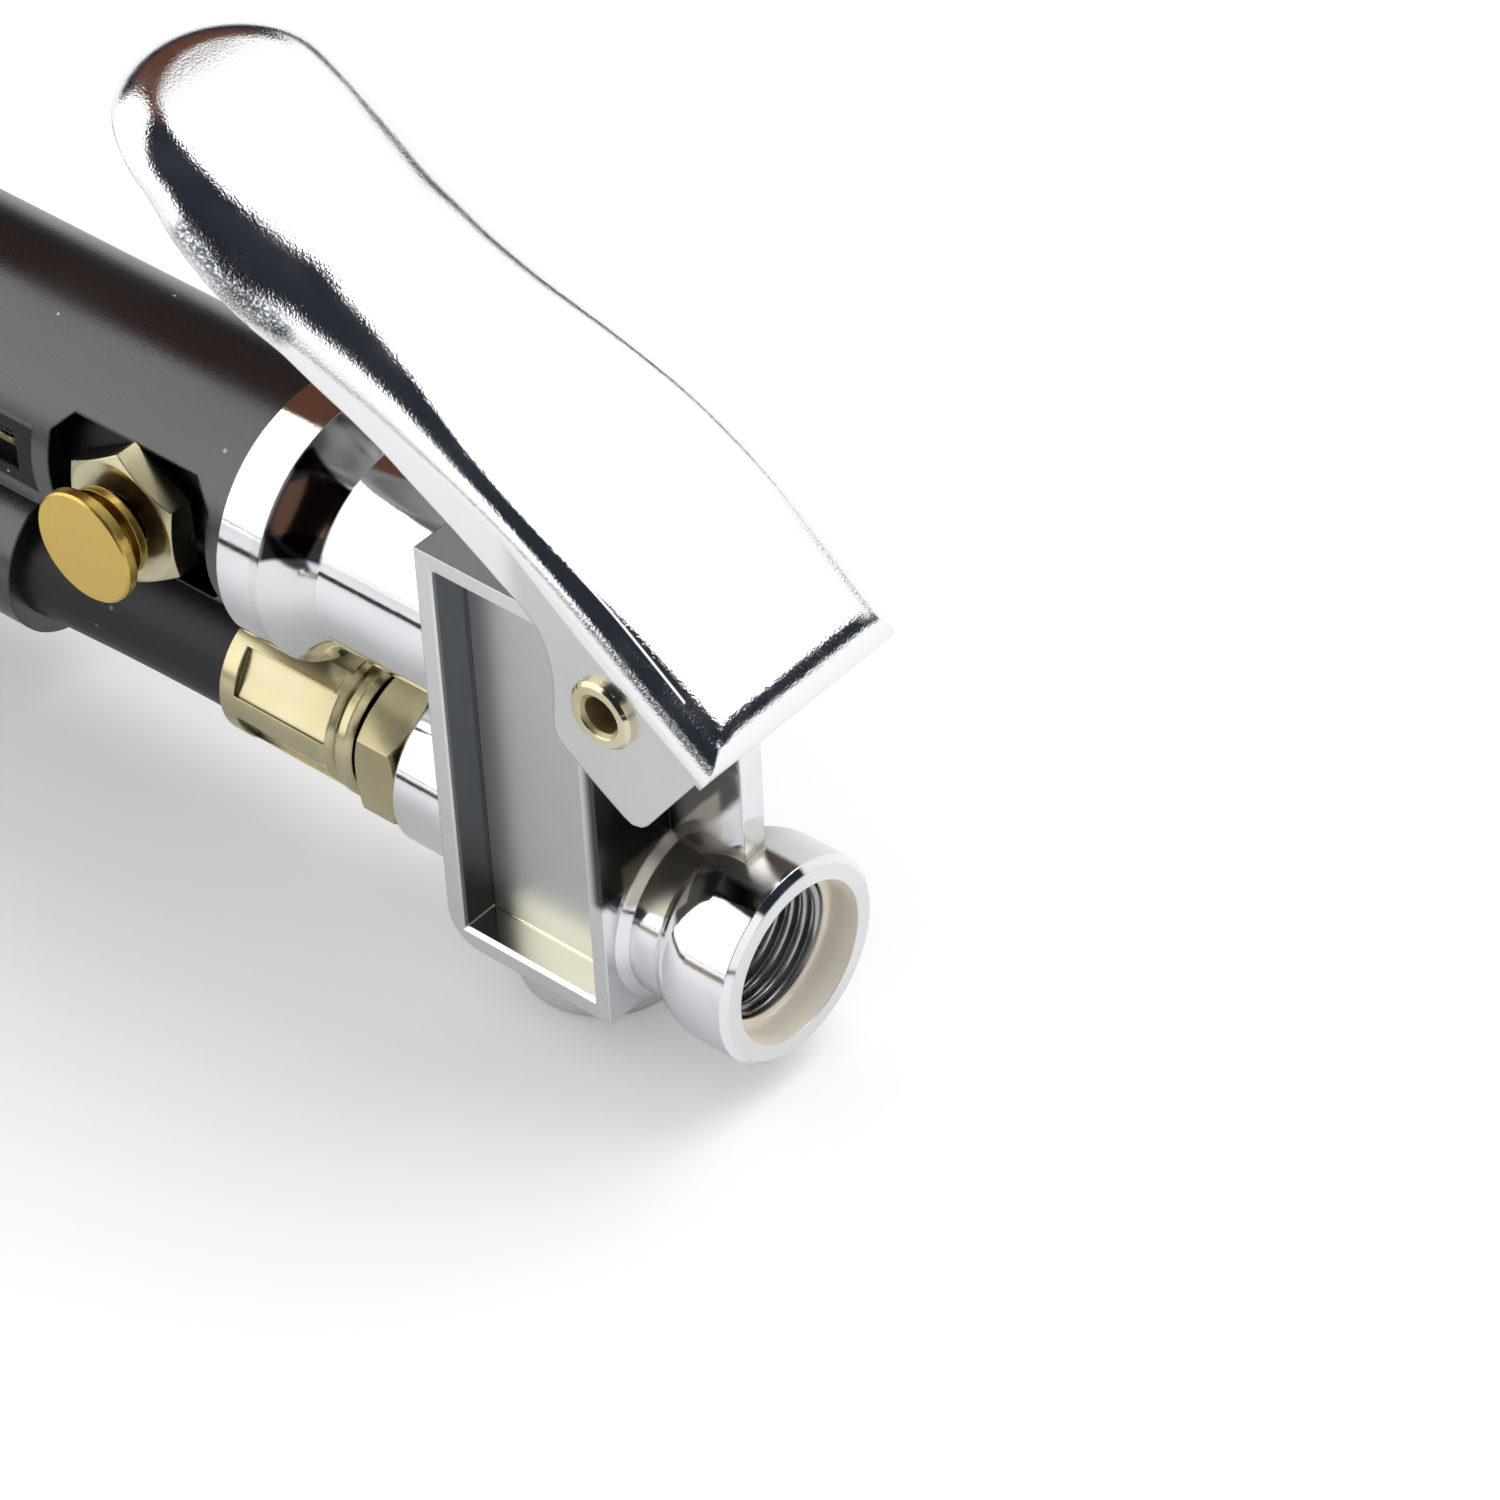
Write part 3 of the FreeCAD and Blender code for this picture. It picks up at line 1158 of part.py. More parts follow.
finished = [
    make_head(),
    make_lever(),
    make_rivet(),
    make_valve_seat(),
    make_valve_seal(),
    make_poppet(),
    make_stem(),
    simple_piece("valve_spring", coil("valve_spring_radius", "valve_wire", CUP_FLOOR, POPPET_LOW,
                                      "valve_turns", Vector(0, 0, 1)), "valve_back"),
    make_valve_cap(),
    make_gland(),
    ring_seal("stem_oring", f"{GLAND_FLOOR} + seat_gap",
              f"{GLAND_FLOOR} + stem_ring_height - seat_gap",
              "stem_radius + running_fit", "gland_bore_radius - seat_gap",
              along="Z", back="valve_back"),
    make_tube(),
    ring_seal("tube_oring", f"-{TUBE_FRONT} + seat_gap",
              f"-{TUBE_FRONT} + tube_ring_wire - seat_gap",
              "tube_radius - tube_ring_wire", "tube_radius", rise="barrel_rise"),
    make_boot(),
    make_lens(),
    make_piston(),
    ring_seal("piston_seal", f"{PISTON_MIDDLE} - piston_groove / 2 + seat_gap",
              f"{PISTON_MIDDLE} + piston_groove / 2 - seat_gap",
              "gauge_bore_radius - running_fit - piston_groove + seat_gap",
              "gauge_bore_radius - running_fit", rise="barrel_rise"),
    make_drum(),
    simple_piece("gauge_spring", coil("gauge_spring_radius", "gauge_wire", PISTON_REAR,
                                      ADJUSTER_FRONT, "gauge_turns", Vector(-1, 0, 0)),
                 rise="barrel_rise"),
    make_adjuster(),
    make_end_cap(),
    make_bleeder_nut(),
    make_button(),
    simple_piece("bleeder_spring", coil(
        "bleeder_spring_radius", "bleeder_wire",
        "chamber_radius - bleeder_inside + bleeder_guide_length",
        f"{SPRING_SEAT} - button_neck_length", "bleeder_turns", Vector(0, -1, 0)),
        "bleeder_back", "0", "barrel_rise"),
    ring_seal("bleeder_seal", "-button_rod_end - bleeder_seal_wire", "-button_rod_end - seat_gap",
              "button_rod_radius + seat_gap", "button_rod_radius + bleeder_seal_wire",
              along="Y", back="bleeder_back", rise="barrel_rise"),
    make_hose_fitting("hose_fitting", HEX_FRONT, "0", "hose_rise"),
    make_ferrule("hose_ferrule", FERRULE_FRONT, "0", "hose_rise"),
    make_hose(),
    make_ferrule("chuck_ferrule", "(chuck_back - ferrule_length)", "-chuck_side", CHUCK_RISE),
    make_hose_fitting("chuck_fitting", CHUCK_HEX_FRONT, "-chuck_side", CHUCK_RISE, turned=30),
    make_chuck_body(),
    foot_pair("chuck_seals", chuck_seal),
    foot_pair("chuck_pins", chuck_pin),
]
doc.recompute()

for item in doc.Objects:
    if "Invalid" in item.State or "Error" in item.State:
        raise RuntimeError(f"{item.Name} failed: {item.State}")
for piece in finished:
    if piece.Shape.isNull() or not piece.Shape.isValid():
        raise RuntimeError(f"{piece.Label} has no sound shape")

os.makedirs("parts", exist_ok=True)
for piece in finished:
    piece.Shape.exportStep(f"parts/{piece.Label}.step")
print(len(finished), "pieces written")
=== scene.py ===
# %% [markdown]
# Tyre inflator with a barrel gauge
#
# The real tool is a bright plated zinc casting with a pressed steel lever, a rubber-covered
# metal barrel, a bleeder button and a short rubber hose with a dual-foot chuck. The CAD model
# already holds every rigid piece at its real size, so this lesson dresses those pieces: it
# sets the camera, lays the hose, presses a finer lever, cuts the inlet's thread and builds one
# procedural material for each finish.

# %% Load the frame
import math

import bmesh
import bpy
from mathutils import Matrix, Vector


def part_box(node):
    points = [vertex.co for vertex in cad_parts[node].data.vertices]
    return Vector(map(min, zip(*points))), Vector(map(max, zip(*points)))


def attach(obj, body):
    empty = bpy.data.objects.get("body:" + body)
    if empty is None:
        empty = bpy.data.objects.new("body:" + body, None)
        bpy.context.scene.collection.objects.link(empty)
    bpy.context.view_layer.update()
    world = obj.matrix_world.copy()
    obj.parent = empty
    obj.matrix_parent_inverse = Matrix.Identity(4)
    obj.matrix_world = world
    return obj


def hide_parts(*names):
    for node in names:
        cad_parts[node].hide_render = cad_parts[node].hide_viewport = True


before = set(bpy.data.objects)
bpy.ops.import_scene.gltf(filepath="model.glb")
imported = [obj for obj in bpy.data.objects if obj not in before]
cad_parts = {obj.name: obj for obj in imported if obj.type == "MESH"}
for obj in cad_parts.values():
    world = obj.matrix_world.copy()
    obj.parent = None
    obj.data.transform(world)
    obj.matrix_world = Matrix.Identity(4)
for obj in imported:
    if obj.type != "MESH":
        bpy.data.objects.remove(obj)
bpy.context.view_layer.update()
MM = 0.001

# %% [markdown]
# The camera stands above and in front of the tool. It could be placed by eye, but its place,
# turn and lens here come from matching the edges of the inlet, the barrel and the lever in the
# photograph. A long lens keeps the barrel's sides nearly parallel, as they are there.

# %% Camera
CAMERA_PLACE = Vector((246.77, -275.54, 345.01)) * MM
CAMERA_AZIMUTH = 42.34
CAMERA_ELEVATION = 41.02
CAMERA_ROLL = -3.05
CAMERA_LENS = 148.64
SENSOR = 36.0
NEAREST_SEEN = 0.01


def camera_turn(azimuth, elevation, roll):
    """Turn a camera to look from an azimuth and elevation, rolled about its own view line."""
    azimuth, elevation, roll = (math.radians(angle) for angle in (azimuth, elevation, roll))
    back = Vector((math.sin(azimuth) * math.cos(elevation),
                   -math.cos(azimuth) * math.cos(elevation), math.sin(elevation)))
    right = Vector((math.cos(azimuth), math.sin(azimuth), 0.0))
    up = back.cross(right)
    turned_right = right * math.cos(roll) + up * math.sin(roll)
    turned_up = up * math.cos(roll) - right * math.sin(roll)
    return Matrix((turned_right, turned_up, back)).transposed()


camera_data = bpy.data.cameras.new("photo_camera")
camera_data.sensor_width = SENSOR
camera_data.lens = CAMERA_LENS
camera_data.clip_start = NEAREST_SEEN
camera = bpy.data.objects.new("photo_camera", camera_data)
bpy.context.scene.collection.objects.link(camera)
camera.matrix_world = Matrix.Translation(CAMERA_PLACE) @ camera_turn(
    CAMERA_AZIMUTH, CAMERA_ELEVATION, CAMERA_ROLL).to_4x4()
bpy.context.scene.camera = camera
bpy.context.scene.view_settings.view_transform = "Standard"
print("camera at", [round(value, 4) for value in CAMERA_PLACE])

# %% [markdown]
# The hose is the only cord. It leaves the crimped ferrule straight, passes through the ring
# under the barrel, comes down to the bench and turns back in one wide loop to the chuck. It
# could be a mesh swept by hand. A NURBS curve with a round bevel is shorter to write, stays
# editable, and lies as smoothly through the CAD tube's own points as rubber hose does.

# %% Hose
HOSE_RADIUS = 5.75 * MM
HOSE_ROUTE = [(-59.5, 0.0, 1.9), (-134.5, 0.0, 1.9), (-187.0, -53.0, -6.9),
              (-187.5, -108.5, -6.9), (-149.0, -147.0, -5.9), (-94.0, -147.0, -5.9)]
HOSE_STEPS = 24  # steps between two control points
HOSE_ROUND = 8  # how finely the tube is rounded
QUADRATIC = 3  # the spline's order


def round_tube(name, points, radius):
    """Make a smooth round tube on a NURBS spline through control points in metres."""
    data = bpy.data.curves.new(name, "CURVE")
    data.dimensions = "3D"
    data.resolution_u = HOSE_STEPS
    data.bevel_depth = 1.0
    data.bevel_resolution = HOSE_ROUND
    spline = data.splines.new("NURBS")
    spline.points.add(len(points) - 1)
    for point, place in zip(spline.points, points):
        point.co = (*place, 1.0)
        point.radius = radius
    spline.order_u = QUADRATIC
    spline.use_endpoint_u = True
    piece = bpy.data.objects.new(name, data)
    bpy.context.scene.collection.objects.link(piece)
    return piece


hose = round_tube("rubber_hose", [Vector(point) * MM for point in HOSE_ROUTE], HOSE_RADIUS)
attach(hose, "body")
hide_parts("hose")
print("hose route has", len(HOSE_ROUTE), "points")

# %% [markdown]
# The lever is what the eye meets first: one pressing of bright plated sheet. It could be the
# CAD solid with a subdivision surface, but that rounds every bend alike. Here a mesh is laid
# out row by row instead, as a panel beater would: first the line along its top, then its
# outline, its rim and its skirt. The top follows the CAD lever's runs and arcs. A table then
# lifts it a little toward the tip, where the real pressing is crowned.

# %% Lever's top line
LEVER_FRONT = Vector((2.97, 0.0, 30.23)) * MM
# Each run: its length in millimetres, and its slope in degrees where it starts and ends
LEVER_RUNS = ((12.25, 36.6, 36.6), (23.27, 36.6, 15.4), (8.40, 15.4, 15.4), (11.48, 15.4, 38.4),
              (7.00, 38.4, 38.4), (9.51, 38.4, 12.7), (5.20, 12.7, 12.7))
LEVER_LENGTH = sum(run[0] for run in LEVER_RUNS) * MM
# Tables of spots: how far along the lever, and a value there, both in millimetres
LIFTS = ((0.0, 0.0), (14.0, 0.0), (24.0, 0.0), (32.0, 0.4), (40.0, 1.85), (46.0, 3.0),
         (50.0, 3.35), (54.0, 2.9), (58.0, 2.1), (62.0, 1.3), (66.0, 1.0), (78.0, 0.7))
SLOPE_REACH = 0.4 * MM


def smooth_value(table, place):
    """Read a value in millimetres from a table of spots, smoothly, and give it in metres."""
    place = place / MM
    index = max(i for i, spot in enumerate(table[:-1]) if spot[0] <= max(place, table[0][0]))
    (x0, y0), (x1, y1) = table[index], table[index + 1]

    def steepness(i):
        before, after = table[max(i - 1, 0)], table[min(i + 1, len(table) - 1)]
        return (after[1] - before[1]) / (after[0] - before[0])

    width = x1 - x0
    t = min(max((place - x0) / width, 0.0), 1.0)
    value = (y0 * (1 + 2 * t) * (1 - t) ** 2 + steepness(index) * width * t * (1 - t) ** 2
             + y1 * t * t * (3 - 2 * t) - steepness(index + 1) * width * t * t * (1 - t))
    return value * MM


def base_spot(along):
    """Give the place and slope of the CAD lever's top line at a length from its front edge."""
    place = LEVER_FRONT.copy()
    for length, first, last in LEVER_RUNS:
        length, first, last = length * MM, math.radians(first), math.radians(last)
        part = min(along, length)
        slope = first + (last - first) * part / length
        half_turn = (slope - first) / 2
        chord = part * (math.sin(half_turn) / half_turn if half_turn else 1.0)
        middle = first + half_turn
        place += Vector((-math.cos(middle), 0.0, math.sin(middle))) * chord
        along -= part
        if along <= 0:
            break
    return place, slope


def top_spot(along):
    """Give the place and slope of the lifted top line at a length from its front edge."""
    spots = []
    for reach in (along - SLOPE_REACH, along, along + SLOPE_REACH):
        place, slope = base_spot(max(0.0, reach))
        outward = Vector((math.sin(slope), 0.0, math.cos(slope)))
        spots.append(place + outward * smooth_value(LIFTS, reach))
    run = spots[2] - spots[0]
    return spots[1], math.atan2(run.z, -run.x)


print("lever length", round(LEVER_LENGTH / MM, 1), "mm")

# %% [markdown]
# Seen from above, the pressing has a slight waist and a half-round tip. Its outline is a list
# of rows from the lip to the tip. A row also says how a spot inside the rim shifts: along the
# lever at the lip, sideways along the flanks, and both ways round the tip, so that one rule
# for the rim serves all the way round.

# %% Lever's outline
HALVES = ((0.0, 11.3), (14.0, 11.45), (24.0, 11.2), (32.0, 10.8), (40.0, 10.35), (46.0, 10.4),
          (50.0, 10.7), (54.0, 11.25), (58.0, 11.65), (62.0, 11.45), (66.2, 10.9), (80.0, 10.9))
TIP_ROUND = 10.9 * MM
LIP_BLEND = 12.0 * MM
CHEEK_FRONT = 0.585 * MM
CHEEK_ROUND_END = 1.4 * MM
ROW_STEP = 0.8 * MM
TIP_STEPS = 16


def lever_rows():
    """List the lever's rows from lip to tip: along, half width, and how the rim insets both."""
    rows = []
    tip_centre = LEVER_LENGTH - TIP_ROUND
    count = round(tip_centre / ROW_STEP)
    places = sorted({CHEEK_FRONT, CHEEK_ROUND_END,
                     *(tip_centre * i / count for i in range(count + 1))})
    for along in places:
        rows.append((along, smooth_value(HALVES, along), max(0.0, 1 - along / LIP_BLEND), 1.0))
    for step in range(1, TIP_STEPS + 1):
        angle = math.pi / 2 * step / TIP_STEPS
        rows.append((tip_centre + TIP_ROUND * math.sin(angle),
                     TIP_ROUND * math.cos(angle),
                     -math.sin(angle), math.cos(angle)))
    return rows


print("lever rows", len(lever_rows()))

# %% [markdown]
# The sheet turns down all round. Near the lip that bend is tight, and toward the thumb's place
# it grows into a wide soft shoulder before the real bend begins. A bevel modifier has only one
# width, so each row works out its own bend: a shoulder arc up to a small tilt, then a tighter
# arc, then a straight fall. The reflections then stretch as they do on the real plate.

# %% Lever's rim
BENDS = ((0.0, 3.2), (12.0, 2.6), (24.0, 2.0), (32.0, 2.4), (40.0, 3.8), (46.0, 4.9),
         (50.0, 5.6), (54.0, 6.4), (58.0, 6.6), (62.0, 5.6), (66.0, 4.6), (80.0, 4.2))
SHOULDERS = ((0.0, 3.2), (14.0, 3.3), (24.0, 2.6), (32.0, 3.4), (40.0, 6.5), (46.0, 9.0),
             (50.0, 10.6), (54.0, 12.0), (58.0, 12.0), (62.0, 10.0), (66.0, 7.0), (70.0, 6.0),
             (80.0, 5.0))
SOFT_TILT = math.radians(15.0)
BEND_STEPS = 22


def bend_spot(travelled, shoulder, bend, last):
    """Give how far out and down a point lies after a travel over the shoulder and the bend."""
    tilt = min(travelled / shoulder, SOFT_TILT)
    out, down = shoulder * math.sin(tilt), shoulder * (1 - math.cos(tilt))
    travelled -= shoulder * SOFT_TILT
    if travelled > 0:
        turned = min(SOFT_TILT + travelled / bend, last)
        out += bend * (math.sin(turned) - math.sin(SOFT_TILT))
        down += bend * (math.cos(SOFT_TILT) - math.cos(turned))
        down += max(0.0, travelled - bend * (last - SOFT_TILT))
    return out, down


def rim_profile(row, share, drop):
    """List the spots from the top, over the bend and down the skirt to its edge."""
    along, half, ahead, aside = row
    bend, shoulder = smooth_value(BENDS, along), smooth_value(SHOULDERS, along)
    bend_drop = drop - shoulder * (1 - math.cos(SOFT_TILT))
    last = math.acos(max(0.0, math.cos(SOFT_TILT) - bend_drop / bend))
    straight = max(0.0, bend_drop - bend * math.cos(SOFT_TILT))
    total = shoulder * SOFT_TILT + bend * (last - SOFT_TILT) + straight
    width = bend_spot(total, shoulder, bend, last)[0]
    spots = []
    for step in range(BEND_STEPS + 1):
        out, depth = bend_spot(total * step / BEND_STEPS, shoulder, bend, last)
        inset = width - out
        place, slope = top_spot(along + ahead * inset)
        outward = Vector((math.sin(slope), 0.0, math.cos(slope)))
        spots.append(place + Vector((0.0, share * (half - aside * inset), 0.0)) - outward * depth)
    return spots


print("bend at the thumb's place", max(radius for _, radius in BENDS), "mm")

# %% [markdown]
# The skirt is deep at the front, where its two cheeks hold the rivet, and runs out to a low
# edge under the thumb. A cut made with a boolean would need a cutter as curved as the edge
# itself. A table of depths along the lever gives that wavy edge directly.

# %% Lever's skirt
LIP_DROP = 4.2 * MM
SKIRTS = ((0.585, 13.15), (0.8, 14.0), (1.4, 14.7), (2.4, 14.95), (10.2, 14.95), (11.0, 14.6),
          (11.8, 13.7), (12.6, 12.5), (14.0, 10.75), (16.0, 8.7), (18.0, 7.3), (20.0, 6.7),
          (24.0, 6.5), (32.0, 6.1), (40.0, 6.15), (46.0, 6.45), (50.0, 6.3), (54.0, 5.9),
          (58.0, 5.2), (62.0, 4.5), (66.0, 3.7), (71.0, 2.8), (80.0, 2.6))
RIM_DROPS = ((0.0, 4.2), (14.0, 4.2), (24.0, 5.0), (40.0, 5.8), (80.0, 5.8))
TINY = 1e-9


def before_cheeks(along):
    """Tell whether a length from the front edge lies on the lip, ahead of the cheeks."""
    return along < CHEEK_FRONT - TINY


def skirt_depth(along):
    """Give how deep the sheet hangs at a length from the front edge."""
    return LIP_DROP if before_cheeks(along) else smooth_value(SKIRTS, along)


def rim_drop(along):
    """Give how far down the bend's own profile reaches before a flat cheek goes on."""
    return min(smooth_value(RIM_DROPS, along), skirt_depth(along))


print("skirt", max(depth for _, depth in SKIRTS), "mm deep at the cheeks")

# %% [markdown]
# Now the rows become faces: the top between its two rims, the rims, the flat cheeks below
# them, and the lip and tip that close the ends. Each part is a plain grid of quads, and spots
# that meet are welded, which is simpler to follow than one big list of faces.

# %% Lever's outer face
ACROSS_STEPS = 12
CHEEK_STEPS = 8
WELD_REACH = 0.002 * MM


def add_grid(mesh, grid):
    """Add a grid of spots as quads."""
    grid = [[mesh.verts.new(spot) for spot in line] for line in grid]
    for line, following in zip(grid, grid[1:]):
        for index in range(len(line) - 1):
            mesh.faces.new((line[index], line[index + 1], following[index + 1],
                            following[index]))


def cheek_lines(rows, rims):
    """List the lines of spots that carry a rim on down as a flat cheek."""
    lines = []
    for row, rim in zip(rows, rims):
        below = skirt_depth(row[0]) - rim_drop(row[0])
        if before_cheeks(row[0]) or below <= 0:
            continue
        slope = top_spot(row[0])[1]
        inward = Vector((-math.sin(slope), 0.0, -math.cos(slope)))
        lines.append([rim[-1] + inward * below * step / CHEEK_STEPS
                      for step in range(CHEEK_STEPS + 1)])
    return lines


def make_lever_mesh():
    """Build the lever's outer face: its top, its rim all round and the two cheeks."""
    mesh = bmesh.new()
    rows = lever_rows()
    shares = [2 * i / ACROSS_STEPS - 1 for i in range(ACROSS_STEPS + 1)]
    rims = {side: [rim_profile(row, side, rim_drop(row[0])) for row in rows]
            for side in (-1, 1)}
    top = [[left[0].lerp(right[0], (share + 1) / 2) for share in shares]
           for left, right in zip(rims[-1], rims[1])]
    add_grid(mesh, top)
    for side in (-1, 1):
        add_grid(mesh, rims[side])
        add_grid(mesh, cheek_lines(rows, rims[side]))
    for row, drop in ((rows[0], LIP_DROP), (rows[-1], skirt_depth(LEVER_LENGTH))):
        add_grid(mesh, [rim_profile(row, share, drop) for share in shares])
    bmesh.ops.remove_doubles(mesh, verts=mesh.verts, dist=WELD_REACH)
    bmesh.ops.recalc_face_normals(mesh, faces=mesh.faces)
    if max(mesh.faces, key=lambda face: face.calc_center_median().z).normal.z < 0:
        bmesh.ops.reverse_faces(mesh, faces=mesh.faces)
    data = bpy.data.meshes.new("pressed_lever")
    mesh.to_mesh(data)
    mesh.free()
    return data


lever = bpy.data.objects.new("pressed_lever", make_lever_mesh())
bpy.context.scene.collection.objects.link(lever)
print("lever's outer face has", len(lever.data.polygons), "quads")

# %% [markdown]
# A pressing is one sheet, the same thickness everywhere. A Solidify modifier gives it that
# thickness inward, and a second material slot lets the underside be duller than the plate.
# A round punch then makes the rivet's hole through both cheeks, as on the real part.

# %% Lever's sheet and rivet hole
LEVER_SHEET = 1.2 * MM
RIVET_HOLE = 2.65 * MM
HOLE_SIDES = 48
PIVOT = Vector((-9.03, 0.0, 29.98)) * MM
SHARP_ANGLE = math.radians(38)


def make_punch():
    """Make the round punch that lies along the rivet."""
    data = bpy.data.meshes.new("punch")
    mesh = bmesh.new()
    bmesh.ops.create_cone(mesh, segments=HOLE_SIDES, radius1=RIVET_HOLE, radius2=RIVET_HOLE,
                          cap_ends=True, depth=4 * TIP_ROUND, matrix=Matrix.Translation(PIVOT)
                          @ Matrix.Rotation(math.pi / 2, 4, "X"))
    mesh.to_mesh(data)
    mesh.free()
    piece = bpy.data.objects.new("punch", data)
    bpy.context.scene.collection.objects.link(piece)
    return piece


def bake(piece):
    """Turn a piece's modifiers into its own mesh, smooth with sharp corners kept."""
    shaped = piece.evaluated_get(bpy.context.evaluated_depsgraph_get())
    piece.data = bpy.data.meshes.new_from_object(shaped)
    piece.modifiers.clear()
    piece.data.shade_smooth()
    piece.data.set_sharp_from_angle(angle=SHARP_ANGLE)


sheet = lever.modifiers.new("sheet", "SOLIDIFY")
sheet.thickness = LEVER_SHEET
sheet.offset = -1.0
sheet.use_even_offset = True
sheet.material_offset = 1
for _ in ("outside", "underside"):
    lever.data.materials.append(None)
punch = make_punch()
hole = lever.modifiers.new("rivet_hole", "BOOLEAN")
hole.operation = "DIFFERENCE"
hole.object = punch
bake(lever)
bpy.data.objects.remove(punch)
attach(lever, "lever")
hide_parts("lever")
print("lever has", len(lever.data.polygons), "faces")

# %% [markdown]
# The inlet carries a quarter inch parallel thread: nineteen turns to the inch, cut to the
# CAD bore's radius. A ridge swept along a helix would be the strict way. At this size one
# rippled sleeve whose ripple climbs once a turn shows the same ridges with far fewer faces.

# %% Inlet thread
INCH = 25.4 * MM
THREAD_PITCH = INCH / 19
THREAD_ROOT = 6.56 * MM
THREAD_CREST = 5.78 * MM
THREAD_FRONT = -3.05 * MM
THREAD_REAR = -11.5 * MM
THREAD_STEPS = 80
THREAD_SIDES = 72


def make_thread():
    """Make the rippled sleeve of the inlet's thread."""
    middle, half = (THREAD_ROOT + THREAD_CREST) / 2, (THREAD_ROOT - THREAD_CREST) / 2
    grid = []
    for step in range(THREAD_STEPS + 1):
        x = THREAD_FRONT + (THREAD_REAR - THREAD_FRONT) * step / THREAD_STEPS
        line = []
        for side in range(THREAD_SIDES + 1):
            angle = 2 * math.pi * side / THREAD_SIDES
            radius = middle + half * math.cos(2 * math.pi * x / THREAD_PITCH + angle)
            line.append(Vector((x, radius * math.cos(angle), radius * math.sin(angle))))
        grid.append(line)
    mesh = bmesh.new()
    add_grid(mesh, grid)
    bmesh.ops.remove_doubles(mesh, verts=mesh.verts, dist=WELD_REACH)
    data = bpy.data.meshes.new("inlet_thread")
    mesh.to_mesh(data)
    mesh.free()
    data.shade_smooth()
    return data


thread = bpy.data.objects.new("inlet_thread", make_thread())
bpy.context.scene.collection.objects.link(thread)
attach(thread, "body")
print("thread pitch", round(THREAD_PITCH / MM, 3), "mm")

# %% [markdown]
# Every finish below is procedural: image textures would need unwrapped surfaces and a picture
# to copy from, and noise in the piece's own space needs neither. A few small helpers keep the
# node trees readable. These add a node with its sockets filled, and do sums on sockets.

# %% Node helpers


def add_node(tree, kind, label="", **values):
    """Add a node, set its properties and fill its sockets by name."""
    node = tree.nodes.new(kind)
    node.label = label
    for key, value in values.items():
        if hasattr(node, key):
            setattr(node, key, value)
        else:
            node.inputs[key.replace("_", " ")].default_value = value
    return node


def join(tree, start, end):
    """Link an output socket to an input socket."""
    tree.links.new(start, end)


def object_space(tree):
    """Give the shaded spot in the piece's own frame."""
    return tree.nodes.new("ShaderNodeTexCoord").outputs["Object"]


def math_node(tree, operation, first, second=None, third=None, clamp=False):
    """Add a Math node whose operands are sockets or numbers, and give its output."""
    node = tree.nodes.new("ShaderNodeMath")
    node.operation = operation
    node.use_clamp = clamp
    for socket, operand in zip(node.inputs, (first, second, third)):
        if operand is None:
            continue
        if isinstance(operand, bpy.types.NodeSocket):
            join(tree, operand, socket)
        else:
            socket.default_value = operand
    return node.outputs[0]


def mix_value(tree, factor, first, second):
    """Mix a socket and a number by a mask."""
    node = tree.nodes.new("ShaderNodeMix")
    join(tree, factor, node.inputs[0])
    join(tree, first, node.inputs[2])
    node.inputs[3].default_value = second
    return node.outputs[0]


def mix_colour(tree, factor, first, second):
    """Mix two colours, each a socket or an RGB triple, by a mask."""
    node = tree.nodes.new("ShaderNodeMix")
    node.data_type = "RGBA"
    for socket, operand in ((node.inputs[0], factor), (node.inputs[6], first),
                            (node.inputs[7], second)):
        if isinstance(operand, bpy.types.NodeSocket):
            join(tree, operand, socket)
        elif isinstance(operand, (int, float)):
            socket.default_value = operand
        else:
            socket.default_value = (*operand, 1.0)
    return node.outputs[2]


def new_material(name):
    """Start a material with one Principled shader and give both."""
    material = bpy.data.materials.new(name)
    material.use_nodes = True
    tree = material.node_tree
    tree.nodes.clear()
    output = tree.nodes.new("ShaderNodeOutputMaterial")
    shader = tree.nodes.new("ShaderNodeBsdfPrincipled")
    join(tree, shader.outputs[0], output.inputs["Surface"])
    return material, tree, shader


print("helpers for nodes are ready")

# %% [markdown]
# One casting shows several finishes, buffed plate and satin walls, and painted shade in its
# grey corners. Splitting its mesh or painting vertices would work too, but a mask worked out
# from where a spot lies keeps the CAD mesh untouched. These helpers make such masks from
# blocks and round bars of space.

# %% Masks in space
AXES = "XYZ"
ROUND_SOFT = 0.1


def step_mask(tree, value, low, high):
    """Give a smooth mask that rises from 0 at low to 1 at high."""
    node = tree.nodes.new("ShaderNodeMapRange")
    node.interpolation_type = "SMOOTHSTEP"
    join(tree, value, node.inputs["Value"])
    node.inputs["From Min"].default_value = low
    node.inputs["From Max"].default_value = high
    return node.outputs["Result"]


def flipped(tree, mask):
    """Swap a mask's bright and dark."""
    return math_node(tree, "SUBTRACT", 1.0, mask)


def product(tree, *masks):
    """Multiply masks."""
    result = masks[0]
    for mask in masks[1:]:
        result = math_node(tree, "MULTIPLY", result, mask)
    return result


def between(tree, value, low, high, soft):
    """Mask a value that lies between two limits."""
    return product(tree, step_mask(tree, value, low - soft, low),
                   flipped(tree, step_mask(tree, value, high, high + soft)))


def coordinate(tree, axis):
    """Give the x, y or z of the shaded spot in the piece's own frame."""
    split = tree.nodes.new("ShaderNodeSeparateXYZ")
    join(tree, object_space(tree), split.inputs[0])
    return split.outputs[axis]


def block(tree, soft, **limits):
    """Mask a block of space between limits in millimetres along X, Y or Z."""
    return product(tree, *(between(tree, coordinate(tree, axis), low * MM, high * MM, soft * MM)
                           for axis, (low, high) in limits.items()))


def within(soft, **limits):
    """Give a mask function for a block of space, for a material's table of patches."""
    return lambda tree: block(tree, soft, **limits)


